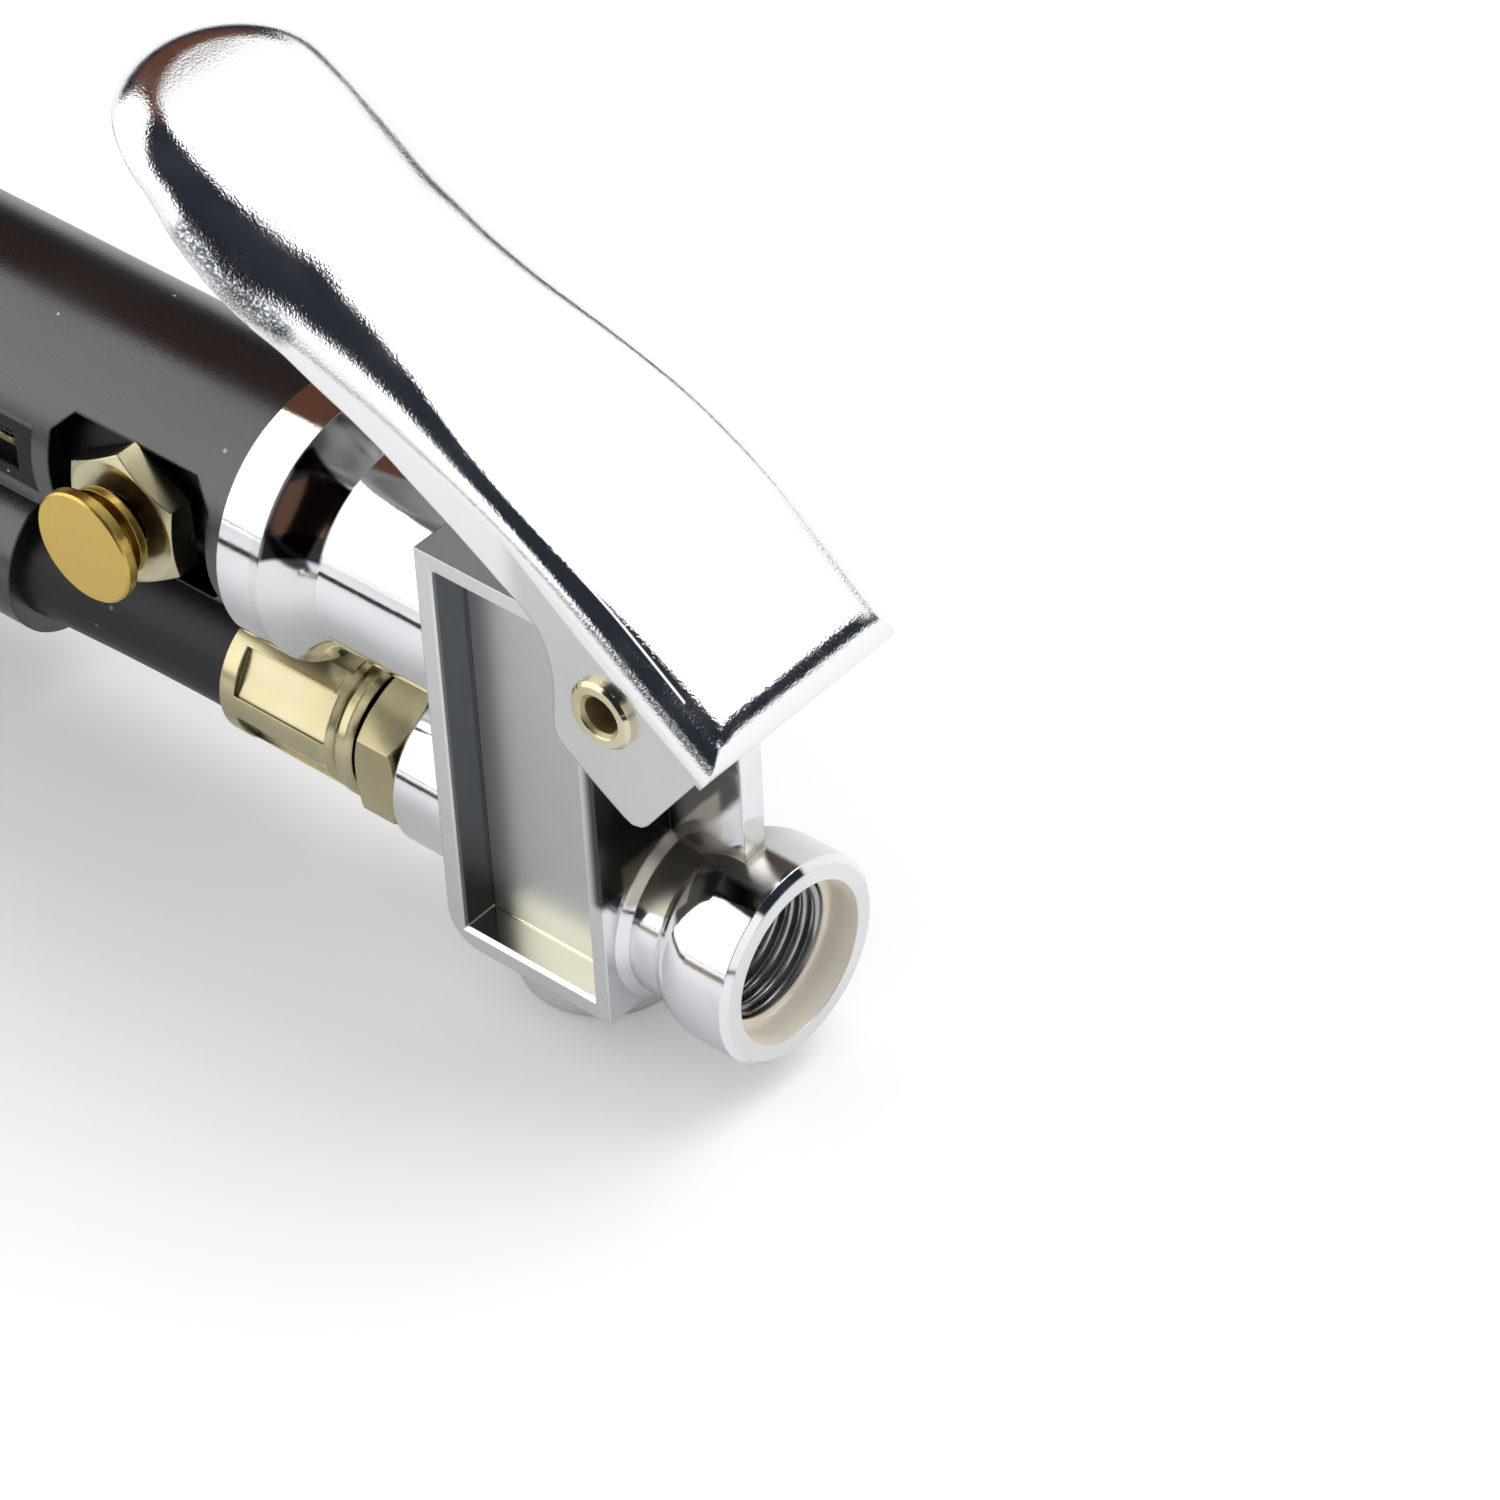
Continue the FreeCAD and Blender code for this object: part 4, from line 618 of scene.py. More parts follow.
def beside_line(tree, axis, centre, radius, soft=ROUND_SOFT):
    """Mask the space within a radius in millimetres of a line along an axis."""
    away = add_node(tree, "ShaderNodeVectorMath", operation="SUBTRACT")
    join(tree, object_space(tree), away.inputs[0])
    away.inputs[1].default_value = Vector(centre) * MM
    flat = add_node(tree, "ShaderNodeVectorMath", operation="MULTIPLY")
    join(tree, away.outputs[0], flat.inputs[0])
    flat.inputs[1].default_value = [0.0 if name == axis else 1.0 for name in AXES]
    reach = add_node(tree, "ShaderNodeVectorMath", operation="LENGTH")
    join(tree, flat.outputs[0], reach.inputs[0])
    return flipped(tree, step_mask(tree, reach.outputs["Value"], radius * MM,
                                   (radius + soft) * MM))


print("helpers for masks are ready")

# %% [markdown]
# Plated castings are never perfectly smooth: the plate follows small waves of the metal under
# it and carries hairline polishing scratches, and dust settles on everything. Each of these
# effects serves several materials, so each is a node group, made once and placed with its own
# values. They work in object space, so they need no unwrapped surface.

# %% Shared effects
SCRATCH_TURN = (0.3, 0.5, 0.7)
SCRATCH_STRETCH = (0.06, 1.0, 1.0)
SCRATCH_CONTRAST = 4.0
DUST_CHOICE_SIZE = 90.0


def new_group(name, numbers, outputs):
    """Start a node group with named number inputs and float outputs."""
    group = bpy.data.node_groups.new(name, "ShaderNodeTree")
    for word, value in numbers.items():
        socket = group.interface.new_socket(name=word, in_out="INPUT",
                                            socket_type="NodeSocketFloat")
        socket.default_value = value
    for word in outputs:
        group.interface.new_socket(name=word, in_out="OUTPUT", socket_type="NodeSocketFloat")
    inputs = group.nodes.new("NodeGroupInput")
    ends = group.nodes.new("NodeGroupOutput")
    return group, inputs, ends


def place_group(tree, group, **values):
    """Put a group in a material with its own values."""
    node = tree.nodes.new("ShaderNodeGroup")
    node.node_tree = group
    for key, value in values.items():
        node.inputs[key.replace("_", " ").capitalize()].default_value = value
    return node


def make_waves():
    """Slow surface waves plus fine grain, as one height."""
    group, inputs, ends = new_group("plating_waves", {"Wave size": 120.0, "Grain size": 2600.0,
                                                      "Grain share": 0.1}, ["Height"])
    place = object_space(group)
    wave = add_node(group, "ShaderNodeTexNoise", "waves", Detail=1.0)
    grain = add_node(group, "ShaderNodeTexNoise", "grain", Detail=2.0)
    for node, word in ((wave, "Wave size"), (grain, "Grain size")):
        join(group, place, node.inputs["Vector"])
        join(group, inputs.outputs[word], node.inputs["Scale"])
    fine = math_node(group, "MULTIPLY", grain.outputs["Fac"], inputs.outputs["Grain share"])
    join(group, math_node(group, "ADD", wave.outputs["Fac"], fine), ends.inputs["Height"])
    return group


def make_scratches():
    """Hairline scratches along one stretched direction, as a mask."""
    group, inputs, ends = new_group("hairline_scratches", {"Size": 400.0, "Share": 0.45},
                                    ["Mask"])
    turn = add_node(group, "ShaderNodeMapping", "stretch")
    turn.inputs["Rotation"].default_value = SCRATCH_TURN
    turn.inputs["Scale"].default_value = SCRATCH_STRETCH
    join(group, object_space(group), turn.inputs["Vector"])
    lines = add_node(group, "ShaderNodeTexNoise", "lines", Detail=4.0)
    join(group, turn.outputs["Vector"], lines.inputs["Vector"])
    join(group, inputs.outputs["Size"], lines.inputs["Scale"])
    above = math_node(group, "SUBTRACT", lines.outputs["Fac"], inputs.outputs["Share"])
    join(group, math_node(group, "MULTIPLY", above, SCRATCH_CONTRAST, clamp=True),
         ends.inputs["Mask"])
    return group


def make_specks():
    """Scattered dust specks, as a mask."""
    group, inputs, ends = new_group("dust_specks", {"Size": 260.0, "Reach": 0.06,
                                                    "Share": 0.5}, ["Mask"])
    place = object_space(group)
    cells = add_node(group, "ShaderNodeTexVoronoi", "cells")
    join(group, place, cells.inputs["Vector"])
    join(group, inputs.outputs["Size"], cells.inputs["Scale"])
    choose = add_node(group, "ShaderNodeTexNoise", "choose", Detail=0.0, Scale=DUST_CHOICE_SIZE)
    join(group, place, choose.inputs["Vector"])
    near = math_node(group, "LESS_THAN", cells.outputs["Distance"], inputs.outputs["Reach"])
    kept = math_node(group, "GREATER_THAN", choose.outputs["Fac"], inputs.outputs["Share"])
    join(group, math_node(group, "MULTIPLY", near, kept), ends.inputs["Mask"])
    return group


waves, scratches, specks = make_waves(), make_scratches(), make_specks()
print("effects:", waves.name, scratches.name, specks.name)

# %% [markdown]
# All the metals share one recipe: a metallic base, the plating's waves as bump, scratches in
# the roughness and painted shade darkening the corners. Real corners are never razor sharp and
# catch the light. Bevelling every CAD mesh would be slow, so a Bevel node eases them in the
# shading.
# Each finish then differs in colour, roughness, how worn it is, and in its own patches.

# %% Recipe for metal
EASED_SAMPLES = 6
CORNER_SAMPLES = 4
STAIN_SIZE = 60.0
STAIN_EDGES = (0.42, 0.7)
SHADE_UNEVENNESS = 0.3
CORNER_SHADE_EDGES = (0.45, 0.95)
SCRATCH_ROUGHNESS = 0.08
PATCH_DARKER = 0.8
PLATING_HEIGHT = 0.2 * MM


def eased_bump(tree, label, height, strength, distance, edge):
    """Give a normal with a bump laid over edges that are rounded in the shading."""
    rounding = add_node(tree, "ShaderNodeBevel", "eased edges")
    rounding.samples = EASED_SAMPLES
    rounding.inputs["Radius"].default_value = edge
    bump = add_node(tree, "ShaderNodeBump", label, Strength=strength, Distance=distance)
    join(tree, height, bump.inputs["Height"])
    join(tree, rounding.outputs["Normal"], bump.inputs["Normal"])
    return bump.outputs["Normal"]


def make_metal(name, colour, roughness, edge=0.2 * MM, wave=0.02, wave_size=120.0,
               grain_share=0.1, grain_size=2600.0, tint=None, painted_corner_shade=None, patches=()):
    """Make a plated or turned metal; lengths in metres, wave is the bump's height share.

    The corner-shade argument is (colour, reach): painted shade that darkens the corners, and how
    far from them it reaches. A patch is (mask function, colour, roughness): a stretch of the
    piece with another finish, or with painted shade, highlight or reflection in its colour. A
    fourth number makes it less metallic, as bare grey zinc is.
    """
    material, tree, shader = new_material(name)
    shader.inputs["Metallic"].default_value = 1.0
    lines = place_group(tree, scratches)
    rough = math_node(tree, "MULTIPLY_ADD", lines.outputs["Mask"], SCRATCH_ROUGHNESS, roughness)
    stain = add_node(tree, "ShaderNodeTexNoise", "stain", Scale=STAIN_SIZE, Detail=3.0)
    join(tree, object_space(tree), stain.inputs["Vector"])
    base = mix_colour(tree, step_mask(tree, stain.outputs["Fac"], *STAIN_EDGES), colour,
                      tint or colour)
    # Painted shade: the colour darkens toward corners that ambient occlusion finds, made uneven
    # by the stain noise
    if painted_corner_shade is not None:
        corners = add_node(tree, "ShaderNodeAmbientOcclusion", "corners",
                           samples=CORNER_SAMPLES)
        corners.inputs["Distance"].default_value = painted_corner_shade[1]
        uneven = math_node(tree, "MULTIPLY_ADD", stain.outputs["Fac"], SHADE_UNEVENNESS,
                           corners.outputs["AO"])
        base = mix_colour(tree, step_mask(tree, uneven, *CORNER_SHADE_EDGES), painted_corner_shade[0], base)
    metal = None
    for mask_of, patch_colour, patch_roughness, *metallic in patches:
        mask = mask_of(tree)
        mottled = mix_colour(tree, stain.outputs["Fac"], patch_colour,
                             [PATCH_DARKER * value for value in patch_colour])
        base = mix_colour(tree, mask, base, mottled)
        rough = mix_value(tree, mask, rough, patch_roughness)
        if metallic:
            part = math_node(tree, "MULTIPLY_ADD", mask, metallic[0] - 1.0, 1.0)
            metal = part if metal is None else math_node(tree, "MULTIPLY", metal, part)
    if metal is not None:
        join(tree, metal, shader.inputs["Metallic"])
    join(tree, base, shader.inputs["Base Color"])
    join(tree, rough, shader.inputs["Roughness"])
    bumps = place_group(tree, waves, Wave_size=wave_size, Grain_share=grain_share,
                        Grain_size=grain_size)
    join(tree, eased_bump(tree, "plating", bumps.outputs["Height"], wave, PLATING_HEIGHT, edge),
         shader.inputs["Normal"])
    return material


print("stains lie about", round(1 / STAIN_SIZE / MM), "mm apart")

# %% [markdown]
# The casting is zinc with bright plate. Its round parts are buffed like a mirror, the valve
# box is left satin with a matte grey recess in each side, and the plate is stained where
# hands and the air-line fitting rub it. Some rows also paint shade, highlights or reflections
# into its colour. One material holds all of it: each row of the table is a block of the
# casting in millimetres, and what its plate looks like there.

# %% Plated casting
COUNTERBORE_RADIUS = 7.6
INLET_AXIS = (0.0, 0.0, 0.0)


def counterbore(tree):
    """Mask the inside of the inlet's mouth, ahead of its thread."""
    return product(tree, block(tree, 0.1, X=(-3.1, -0.1)),
                   beside_line(tree, "X", INLET_AXIS, COUNTERBORE_RADIUS))


# Rows: where, colour, roughness and, for bare or stained zinc, how metallic
CAST_PATCHES = (
    # The satin valve box
    (within(0.2, X=(-30.2, -12.6)), (0.86, 0.86, 0.85), 0.30),
    # Its recesses' floors
    (within(0.2, X=(-28.6, -14.1), Y=(-6.9, 6.9), Z=(-5.2, 33.4)), (0.68, 0.69, 0.68), 0.36),
    # Painted shade on the recesses' walls away from the light
    (within(0.1, X=(-28.9, -28.3), Y=(-9.7, 9.7), Z=(-5.0, 33.2)), (0.17, 0.18, 0.19), 0.30),
    # Painted highlight: the recesses' lower ledges, brighter and yellowish
    (within(0.1, X=(-28.4, -14.3), Y=(-9.8, 9.8), Z=(-5.4, -4.9)), (1.0, 0.96, 0.78), 0.14),
    # The collar's front ring
    (within(0.2, X=(-47.5, -42.5)), (0.88, 0.88, 0.88), 0.11),
    # Painted shade in the dark root between the box and the fin
    (within(1.2, X=(-12.7, -12.2), Z=(6.5, 30.0)), (0.08, 0.075, 0.065), 0.22),
    # Painted reflection: the collar's near upper side, dark as the room it faces, with a painted
    # brown glint
    (within(0.5, X=(-46.4, -42.5), Y=(-14.0, -4.8), Z=(26.9, 34.0)), (0.022, 0.021, 0.026),
     0.12),
    (within(0.4, X=(-46.2, -42.8), Y=(-14.0, -5.4), Z=(28.9, 32.2)), (0.11, 0.060, 0.042), 0.16),
    # Painted reflection on the inlet neck's top and the bell's near top, and the bell's matte far
    # top
    (within(0.6, X=(-12.1, -8.6), Y=(-7.0, 7.0), Z=(4.8, 8.4)), (0.60, 0.56, 0.48), 0.34),
    (within(0.8, X=(-8.6, -1.2), Y=(-2.6, 1.2), Z=(6.0, 10.0)), (0.56, 0.54, 0.50), 0.30),
    (within(0.8, X=(-8.6, -0.1), Y=(1.6, 10.0), Z=(3.4, 10.0)), (0.92, 0.92, 0.89), 0.50, 0.15),
    # The bell's face and its counterbore
    (within(0.05, X=(-0.05, 0.5)), (0.88, 0.88, 0.87), 0.30),
    (counterbore, (1.0, 0.93, 0.80), 0.32, 0.35),
)
# Painted shade: the casting's corners darken toward this grey
PAINTED_CORNER_SHADE = ((0.34, 0.33, 0.31), 4.0 * MM)
chrome_cast = make_metal("plated_casting", (0.90, 0.90, 0.91), 0.07, edge=0.15 * MM, wave=0.12,
                         wave_size=160.0, tint=(0.80, 0.80, 0.81), painted_corner_shade=PAINTED_CORNER_SHADE,
                         patches=CAST_PATCHES)
print(chrome_cast.name, "has", len(CAST_PATCHES), "patches")

# %% [markdown]
# The lever's plate lies on drawn sheet, so it shows finer grain than the casting. Its flat
# cheeks are less bright than its crown, and a darker bluish mottled streak follows the near
# skirt. The streak is a bar of space round a sloping line, broken up by fine noise: single
# round spots looked like drops. A thin white line of painted highlight marks the bend beside
# the rivet.

# %% Plate on the lever
CHEEK_DEPTH = 3.4 * MM
CHEEK_FADE = 0.4 * MM
STREAK_START = Vector((-51.5, 0.0, 57.3)) * MM
STREAK_END = Vector((-42.4, 0.0, 51.6)) * MM
STREAK_CORE = 0.2 * MM
STREAK_REACH = 2.1 * MM
STREAK_MOTTLE = 3400.0
MOTTLE_EDGES = (0.25, 0.6)


def lever_cheeks(tree):
    """Mask the lever's cheeks: deep below its front run, back to where the skirt begins."""
    slope = math.radians(LEVER_RUNS[0][1])
    outward = Vector((math.sin(slope), 0.0, math.cos(slope)))
    line = LEVER_FRONT.dot(outward) - CHEEK_DEPTH
    deep = add_node(tree, "ShaderNodeVectorMath", operation="DOT_PRODUCT")
    join(tree, object_space(tree), deep.inputs[0])
    deep.inputs[1].default_value = outward
    return product(tree, block(tree, 3.0, X=(-17.0, 20.0)), flipped(
        tree, step_mask(tree, deep.outputs["Value"], line - CHEEK_FADE, line)))


def lever_skirt_dark_mottle(tree):
    """Mask the hazy dark stretch along the near skirt, between the waist and the tip."""
    away = add_node(tree, "ShaderNodeVectorMath", operation="SUBTRACT")
    join(tree, object_space(tree), away.inputs[0])
    away.inputs[1].default_value = STREAK_START
    flat = add_node(tree, "ShaderNodeVectorMath", operation="MULTIPLY")
    join(tree, away.outputs[0], flat.inputs[0])
    flat.inputs[1].default_value = (1.0, 0.0, 1.0)
    run = STREAK_END - STREAK_START
    along = add_node(tree, "ShaderNodeVectorMath", operation="DOT_PRODUCT")
    join(tree, flat.outputs[0], along.inputs[0])
    along.inputs[1].default_value = run / run.length_squared
    foot = add_node(tree, "ShaderNodeVectorMath", operation="SCALE")
    foot.inputs[0].default_value = run
    join(tree, math_node(tree, "MULTIPLY", along.outputs["Value"], 1.0, clamp=True),
         foot.inputs["Scale"])
    gap = add_node(tree, "ShaderNodeVectorMath", operation="DISTANCE")
    join(tree, flat.outputs[0], gap.inputs[0])
    join(tree, foot.outputs[0], gap.inputs[1])
    near = flipped(tree, step_mask(tree, gap.outputs["Value"], STREAK_CORE, STREAK_REACH))
    mottle = add_node(tree, "ShaderNodeTexNoise", "mottle", Scale=STREAK_MOTTLE, Detail=2.0)
    join(tree, object_space(tree), mottle.inputs["Vector"])
    return product(tree, near, step_mask(tree, mottle.outputs["Fac"], *MOTTLE_EDGES),
                   block(tree, 1.0, Y=(-14.0, -9.8)))


LEVER_PATCHES = (
    # A painted highlight: the white line along the near bend; then the dark streak and the cheeks
    (within(0.06, X=(-12.5, -2.0), Y=(-9.79, -9.67)), (1.0, 1.0, 1.0), 0.35, 0.0),
    (lever_skirt_dark_mottle, (0.12, 0.14, 0.17), 0.18),
    (lever_cheeks, (0.76, 0.76, 0.75), 0.28),
)
chrome_sheet = make_metal("plated_lever", (0.97, 0.97, 0.965), 0.10, edge=0.25 * MM, wave=0.25,
                          wave_size=90.0, grain_share=0.55, grain_size=4600.0,
                          patches=LEVER_PATCHES)
sheet_inside = make_metal("lever_underside", (0.42, 0.42, 0.42), 0.42, wave=0.1)
for index, finish in enumerate((chrome_sheet, sheet_inside)):
    lever.data.materials[index] = finish
print(chrome_sheet.name, "and", sheet_inside.name, "are on the lever")

# %% [markdown]
# The smaller metal pieces are turned from bar. The hexagons and ferrules have pale, slightly
# yellow nickel plate, the button is bare brass, and the barrel is drawn tube. They could share
# one material, but their colours are what tells them apart, so each gets its own values.

# %% Nickel, brass, steel and tube
nut_low, nut_high = (Vector(corner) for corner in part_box("bleeder_nut"))
BLEEDER = (nut_low + nut_high) / 2 / MM
RIVET_BORE = 1.95
BLEEDER_SHADE = 10.5


def rivet_bore(tree):
    """Mask the hollow rivet's dull bore."""
    return beside_line(tree, "Y", PIVOT / MM, RIVET_BORE)


def painted_shade_round_bleeder(tree):
    """Mask the painted shade on the tube's near side round the bleeder's nut."""
    return product(tree, beside_line(tree, "Y", BLEEDER, BLEEDER_SHADE, 0.6),
                   block(tree, 0.5, Y=(-20.0, 0.0)))


# The nickel and the brass take painted shade in their corners.
nickel = make_metal("pale_nickel", (0.66, 0.60, 0.40), 0.22, edge=0.2 * MM, wave=0.15,
                    tint=(0.56, 0.49, 0.29), painted_corner_shade=((0.12, 0.10, 0.05), 2.5 * MM))
rivet_nickel = make_metal("rivet_nickel", (0.74, 0.68, 0.50), 0.08, edge=0.15 * MM, wave=0.1,
                          tint=(0.60, 0.53, 0.34),
                          patches=((rivet_bore, (0.62, 0.50, 0.30), 0.5),))
brass = make_metal("turned_brass", (0.70, 0.49, 0.13), 0.26, edge=0.15 * MM, wave=0.12,
                   grain_share=0.5, tint=(0.58, 0.39, 0.08), painted_corner_shade=((0.2, 0.11, 0.02), 2.0 * MM))
steel = make_metal("ground_steel", (0.58, 0.58, 0.60), 0.28, wave=0.08)
thread_metal = make_metal("cut_thread", (0.42, 0.43, 0.44), 0.22, wave=0.1)
# The tube is painted dark as shade round the bleeder's nut.
tube_metal = make_metal("drawn_tube", (0.66, 0.66, 0.68), 0.32, wave=0.1,
                        patches=((painted_shade_round_bleeder, (0.03, 0.03, 0.032), 0.4),))
print("metals:", nickel.name, rivet_nickel.name, brass.name, steel.name, tube_metal.name)

# %% [markdown]
# Rubber is dark but never black: it has a broad soft sheen, a fine moulded grain and a little
# pale dust. A plain dark shader would look like painted wood, so the grain goes into both bump
# and roughness. The boot is smoother than the hose, whose outside is slightly chalky, and the
# walls of the boot's window and port have no sheen.

# %% Rubber
DULL_SPECULAR = 0.12
GRAIN_ROUGHNESS = 0.12
GRAIN_HEIGHT = 0.1 * MM
MOULDED_EDGE = 0.35 * MM
DUST = (0.5, 0.48, 0.45)
BARREL = Vector((0.0, 0.0, 23.0))
BOOT_RADIUS = 11.3
BOOT_SKIN = 0.25


def make_rubber(name, colour, roughness, grain, dust, specular=0.5, index=1.5, dull=None):
    """Make a moulded rubber with a fine grain and scattered dust.

    dull is a mask function for the part that has no sheen.
    """
    material, tree, shader = new_material(name)
    shader.inputs["Specular IOR Level"].default_value = specular
    if dull is not None:
        join(tree, math_node(tree, "MULTIPLY_ADD", dull(tree), DULL_SPECULAR - specular,
                             specular), shader.inputs["Specular IOR Level"])
    shader.inputs["IOR"].default_value = index
    bumps = place_group(tree, waves, Wave_size=70.0, Grain_size=3200.0, Grain_share=0.6)
    bits = place_group(tree, specks)
    base = mix_colour(tree, math_node(tree, "MULTIPLY", bits.outputs["Mask"], dust), colour, DUST)
    join(tree, base, shader.inputs["Base Color"])
    rough = math_node(tree, "MULTIPLY_ADD", bumps.outputs["Height"], GRAIN_ROUGHNESS, roughness)
    join(tree, rough, shader.inputs["Roughness"])
    join(tree, eased_bump(tree, "moulded grain", bumps.outputs["Height"], grain, GRAIN_HEIGHT,
                          MOULDED_EDGE), shader.inputs["Normal"])
    return material


def inside_boot(tree):
    """Mask what lies inside the boot's skin on its near side: the window's and port's walls."""
    return product(tree, beside_line(tree, "X", BARREL, BOOT_RADIUS - BOOT_SKIN),
                   block(tree, 0.5, Y=(-20.0, 0.0)))


boot_rubber = make_rubber("satin_boot_rubber", (0.004, 0.003, 0.0028), 0.18, 0.20, 0.8,
                          specular=0.9, index=1.62, dull=inside_boot)
hose_rubber = make_rubber("hose_rubber", (0.008, 0.008, 0.009), 0.34, 0.3, 0.3, specular=0.4)
seal_rubber = make_rubber("seal_rubber", (0.02, 0.02, 0.02), 0.5, 0.2, 0.0)
print("rubbers:", boot_rubber.name, hose_rubber.name, seal_rubber.name)

# %% [markdown]
# Behind a strip of clear plastic lies the white sleeve of the gauge, with a plain scale. The
# ticks could be thin black solids, but printed ink has no height, so they are a mask in the
# paint: a repeating distance along the barrel gives one tick each millimetre and a longer one
# each fifth.

# %% Clear window and scale
LENS_TINT = (0.95, 0.97, 0.98, 1.0)
LENS_INDEX = 1.49
LENS_ROUGHNESS = 0.03
LENS_SCRATCH = 0.05
SCALE_PAINT = (0.86, 0.86, 0.83)
SCALE_PAINT_AGED = (0.78, 0.77, 0.73)
AGED_SHARE = 0.3
SCALE_INK = (0.02, 0.02, 0.025)
# Ticks: pitch, width, and how far they reach below and above the barrel's axis
SHORT_TICK = (1.0, 0.16, -1.9, -0.7)
LONG_TICK = (5.0, 0.34, -1.9, 0.5)
INK_SOFT = 0.05


def make_lens():
    """Make the clear plastic of the gauge's window."""
    material, tree, shader = new_material("clear_lens")
    shader.inputs["Base Color"].default_value = LENS_TINT
    shader.inputs["Transmission Weight"].default_value = 1.0
    shader.inputs["IOR"].default_value = LENS_INDEX
    lines = place_group(tree, scratches, Size=900.0)
    join(tree, math_node(tree, "MULTIPLY_ADD", lines.outputs["Mask"], LENS_SCRATCH,
                         LENS_ROUGHNESS), shader.inputs["Roughness"])
    return material


def scale_ticks(tree, pitch, width, low, high):
    """Mask the dark ticks of the scale, one each pitch along the barrel; all in millimetres."""
    away = math_node(tree, "PINGPONG", coordinate(tree, "X"), pitch / 2 * MM)
    return product(tree, block(tree, 0.04, Z=(BARREL.z + low, BARREL.z + high)), flipped(
        tree, step_mask(tree, away, width / 2 * MM, (width / 2 + INK_SOFT) * MM)))


def make_drum_white():
    """Make the white painted sleeve with the scale's plain ticks."""
    material, tree, shader = new_material("scale_white")
    bumps = place_group(tree, waves)
    shade = math_node(tree, "MULTIPLY", bumps.outputs["Height"], AGED_SHARE)
    paint_colour = mix_colour(tree, shade, SCALE_PAINT, SCALE_PAINT_AGED)
    ticks = math_node(tree, "MAXIMUM", scale_ticks(tree, *SHORT_TICK),
                      scale_ticks(tree, *LONG_TICK))
    join(tree, mix_colour(tree, ticks, paint_colour, SCALE_INK), shader.inputs["Base Color"])
    shader.inputs["Roughness"].default_value = 0.45
    return material


lens_clear, drum_white = make_lens(), make_drum_white()
print("window and scale:", lens_clear.name, drum_white.name)

# %% [markdown]
# Each carried-over CAD piece takes the finish of the real one. A table from piece to finish is
# easier to check against the photograph than a line of code for each piece. The lever has its
# finishes already.

# %% Finishes on the pieces
FINISHES = {
    "head_casting": chrome_cast, "lever_rivet": rivet_nickel,
    "valve_seat": brass, "valve_seal": seal_rubber, "valve_poppet": brass,
    "valve_stem": steel, "valve_spring": steel, "valve_cap": brass, "stem_gland": nickel,
    "stem_oring": seal_rubber, "gauge_tube": tube_metal, "tube_oring": seal_rubber,
    "rubber_boot": boot_rubber, "window_lens": lens_clear, "gauge_piston": brass,
    "piston_seal": seal_rubber, "gauge_drum": drum_white, "gauge_spring": steel,
    "spring_adjuster": brass, "end_cap": chrome_cast, "bleeder_nut": nickel,
    "bleeder_button": brass, "bleeder_spring": steel, "bleeder_seal": seal_rubber,
    "hose_fitting": nickel, "hose_ferrule": nickel, "chuck_ferrule": nickel,
    "chuck_fitting": nickel, "chuck_body": chrome_cast, "chuck_seals": seal_rubber,
    "chuck_pins": brass,
}
for name, finish in FINISHES.items():
    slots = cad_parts[name].data.materials
    slots.clear()
    slots.append(finish)
hose.data.materials.append(hose_rubber)
thread.data.materials.append(thread_metal)
print(len(FINISHES), "pieces have their finish")

# %% [markdown]
# The bench is a pale floor that keeps the tool's shadow. A photographer's white sweep looks a
# touch brighter than the light on it gives. More light would bleach the tool as well, so only
# the camera's rays see a small glow of the floor. In the tool's mirror-like plate the bench
# ends where the real one does, with the dark room beyond it.

# %% Floor
FLOOR = -12.67 * MM
FLOOR_GAP = 0.02 * MM
FLOOR_HALF = 3.0
BENCH_COLOUR = (0.84, 0.84, 0.845)
BENCH_MIRRORED = (0.84, 0.845, 0.85)
BENCH_ROUGHNESS = 0.9
BENCH_SPECULAR = 0.1
BENCH_LIFT = 0.12
BENCH_END = (-0.20, -0.16)
BENCH_CORNER = (-0.12, -0.07)
WHITE = (1.0, 1.0, 1.0)
NAVY = (0.017, 0.021, 0.031)
bench_mesh = bpy.data.meshes.new("bench")
bench_mesh.from_pydata([(x * FLOOR_HALF, y * FLOOR_HALF, FLOOR - FLOOR_GAP) for x, y in (
    (-1, -1), (1, -1), (1, 1), (-1, 1))], [], [(0, 1, 2, 3)])
bench = bpy.data.objects.new("bench", bench_mesh)
bpy.context.scene.collection.objects.link(bench)
bench_material, tree, shader = new_material("white_bench")
shader.inputs["Roughness"].default_value = BENCH_ROUGHNESS
shader.inputs["Specular IOR Level"].default_value = BENCH_SPECULAR
path = tree.nodes.new("ShaderNodeLightPath")
end_of_bench = product(tree, flipped(tree, step_mask(tree, coordinate(tree, "Y"), *BENCH_END)),
                       step_mask(tree, coordinate(tree, "X"), *BENCH_CORNER))
join(tree, mix_colour(tree, path.outputs["Is Glossy Ray"], BENCH_COLOUR,
                      mix_colour(tree, end_of_bench, BENCH_MIRRORED, NAVY)),
     shader.inputs["Base Color"])
shader.inputs["Emission Color"].default_value = (*WHITE, 1.0)
join(tree, math_node(tree, "MULTIPLY", path.outputs["Is Camera Ray"], BENCH_LIFT),
     shader.inputs["Emission Strength"])
bench_mesh.materials.append(bench_material)
print("bench at", round(FLOOR / MM, 2), "mm")

# %% [markdown]
# Bright plate shows the room more than itself. A photograph of a room wrapped round the tool
# would do, but a few painted areas are enough and can be steered: a broad soft light above,
# dark and brownish walls, and windows at the sides that give the bars along each round. Only
# reflections see this room: the camera sees white, and matte surfaces a plain grey-white.

# %% Room around the tool
WINDOW_WHITE = (1.7, 1.7, 1.68)
BROWN = (0.11, 0.045, 0.028)
DUSK = (0.09, 0.10, 0.115)
DIFFUSE_LEVEL = (0.86, 0.87, 0.885)
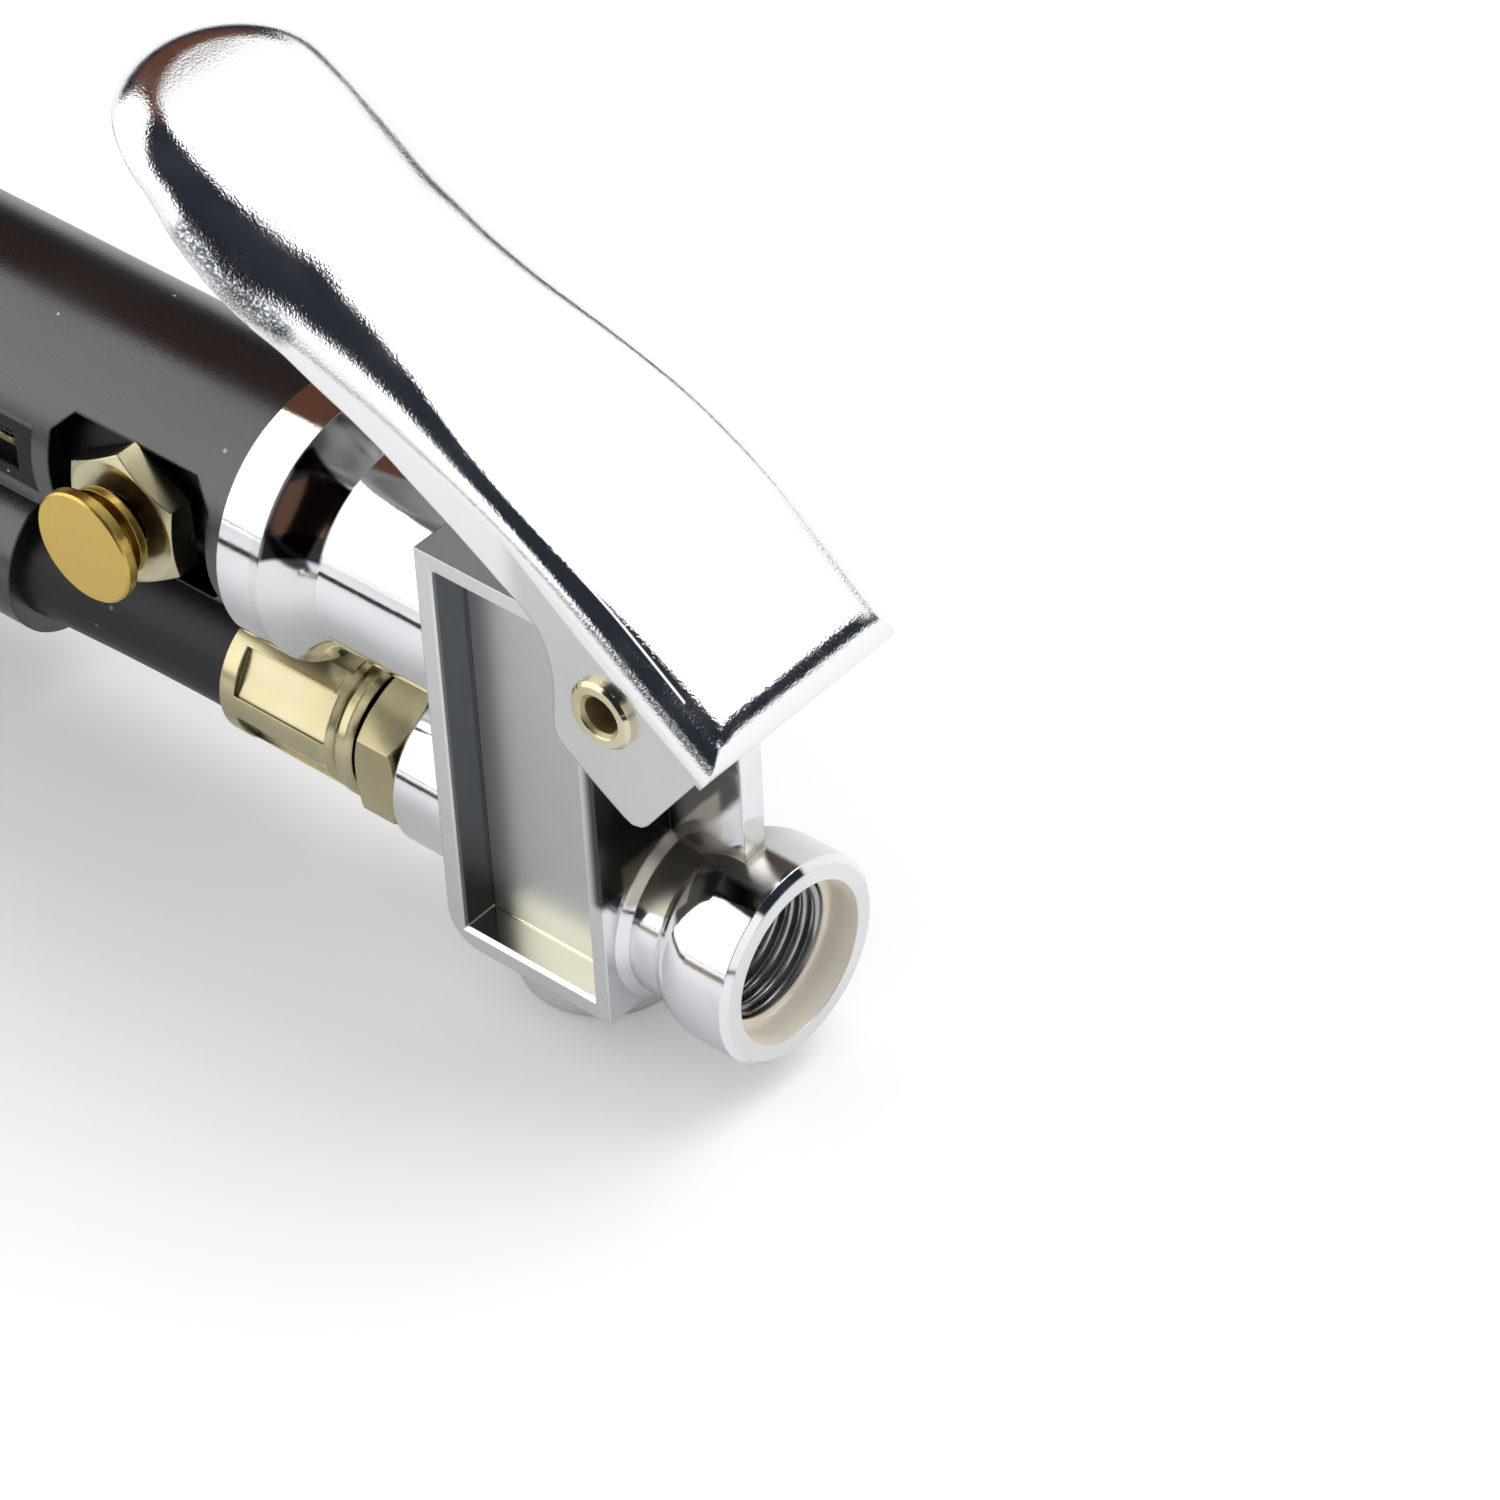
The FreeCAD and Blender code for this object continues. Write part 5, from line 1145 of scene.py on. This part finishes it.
# Areas overhead, on a plane one unit up: sideways, inward, and how soft their sides are
BOX_SIDES = (-0.45, 0.92, 0.08)
BOX_FRONT = (0.34, 0.50)
LIGHT_SIDES = (-9.0, -0.52, 0.06)
LIGHT_BACK = (0.17, 0.24)
LOWEST_CEILING = 0.02
HORIZON = (0.0, 0.02)
# Areas on the walls: the direction of their middle, and the reach where they begin and are full
LEFT_WINDOW = ((-0.75, -0.66, 0.0), 0.69, 0.74)
RIGHT_WINDOW = ((0.88, -0.35, 0.2), 0.89, 0.92)
BROWN_WALL = ((-0.62, 0.35, 0.70), 0.875, 0.905)
BACK_WALL = ((0.1, 1.0, 0.0), 0.74, 0.80)
BACK_LIGHT_HEIGHTS = (0.26, 0.36)
SKIRTING = ((-0.52, -0.855, 0.0), 0.991, 0.994)
SKIRTING_HEIGHTS = (0.035, 0.05, 0.006)
world = bpy.data.worlds.new("studio")
bpy.context.scene.world = world
world.use_nodes = True
room = world.node_tree
room.nodes.clear()
direction = room.nodes.new("ShaderNodeTexCoord").outputs["Generated"]
parts = room.nodes.new("ShaderNodeSeparateXYZ")
join(room, direction, parts.inputs[0])
height = parts.outputs["Z"]


def wall_area(place, faint, full):
    """Mask the directions round the one toward a place; 1 is straight at it, -1 away."""
    node = add_node(room, "ShaderNodeVectorMath", operation="DOT_PRODUCT")
    join(room, direction, node.inputs[0])
    node.inputs[1].default_value = Vector(place).normalized()
    return step_mask(room, node.outputs["Value"], faint, full)


ceiling = math_node(room, "MAXIMUM", height, LOWEST_CEILING)
sideways = math_node(room, "DIVIDE", parts.outputs["X"], ceiling)
inward = math_node(room, "DIVIDE", parts.outputs["Y"], ceiling)
above = step_mask(room, height, *HORIZON)
soft_box = product(room, between(room, sideways, *BOX_SIDES), step_mask(room, inward, *BOX_FRONT))
side_light = product(room, between(room, sideways, *LIGHT_SIDES), above,
                     flipped(room, step_mask(room, inward, *LIGHT_BACK)))
back_wall = wall_area(*BACK_WALL)
back_light = product(room, back_wall, step_mask(room, height, *BACK_LIGHT_HEIGHTS))
skirting = product(room, between(room, height, *SKIRTING_HEIGHTS), wall_area(*SKIRTING))
surround = NAVY
for mask, colour in ((wall_area(*BROWN_WALL), BROWN), (back_wall, DUSK),
                     (back_light, WHITE), (side_light, WINDOW_WHITE),
                     (wall_area(*LEFT_WINDOW), WINDOW_WHITE),
                     (wall_area(*RIGHT_WINDOW), WHITE), (skirting, BROWN),
                     (soft_box, WHITE)):
    surround = mix_colour(room, mask, surround, colour)
surround = mix_colour(room, above, WHITE, surround)
path = room.nodes.new("ShaderNodeLightPath")
seen = mix_colour(room, path.outputs["Is Glossy Ray"], DIFFUSE_LEVEL, surround)
seen = mix_colour(room, path.outputs["Is Camera Ray"], seen, WHITE)
backdrop = room.nodes.new("ShaderNodeBackground")
join(room, seen, backdrop.inputs["Color"])
join(room, backdrop.outputs[0], room.nodes.new("ShaderNodeOutputWorld").inputs["Surface"])
print("the room has", len(room.nodes), "nodes")

# %% [markdown]
# One broad lamp high on the right gives the soft shadow toward the lower left. A sun would
# draw a hard edge, and a smaller lamp would do so near the tool, so the lamp is wide.

# %% Lamp
LAMP_PLACE = Vector((0.6, 1.2, 2.25))
LAMP_AIM = Vector((-0.03, 0.0, 0.0))
LAMP_SIZE = 1.7
LAMP_POWER = 27.0
lamp_data = bpy.data.lights.new("soft_box", "AREA")
lamp_data.shape = "SQUARE"
lamp_data.size = LAMP_SIZE
lamp_data.energy = LAMP_POWER
lamp = bpy.data.objects.new("soft_box", lamp_data)
bpy.context.scene.collection.objects.link(lamp)
lamp.location = LAMP_PLACE
lamp.rotation_mode = "QUATERNION"
lamp.rotation_quaternion = (LAMP_AIM - LAMP_PLACE).to_track_quat("-Z", "Y")
print("lamp power", LAMP_POWER)

# %% Finish
bpy.context.view_layer.update()
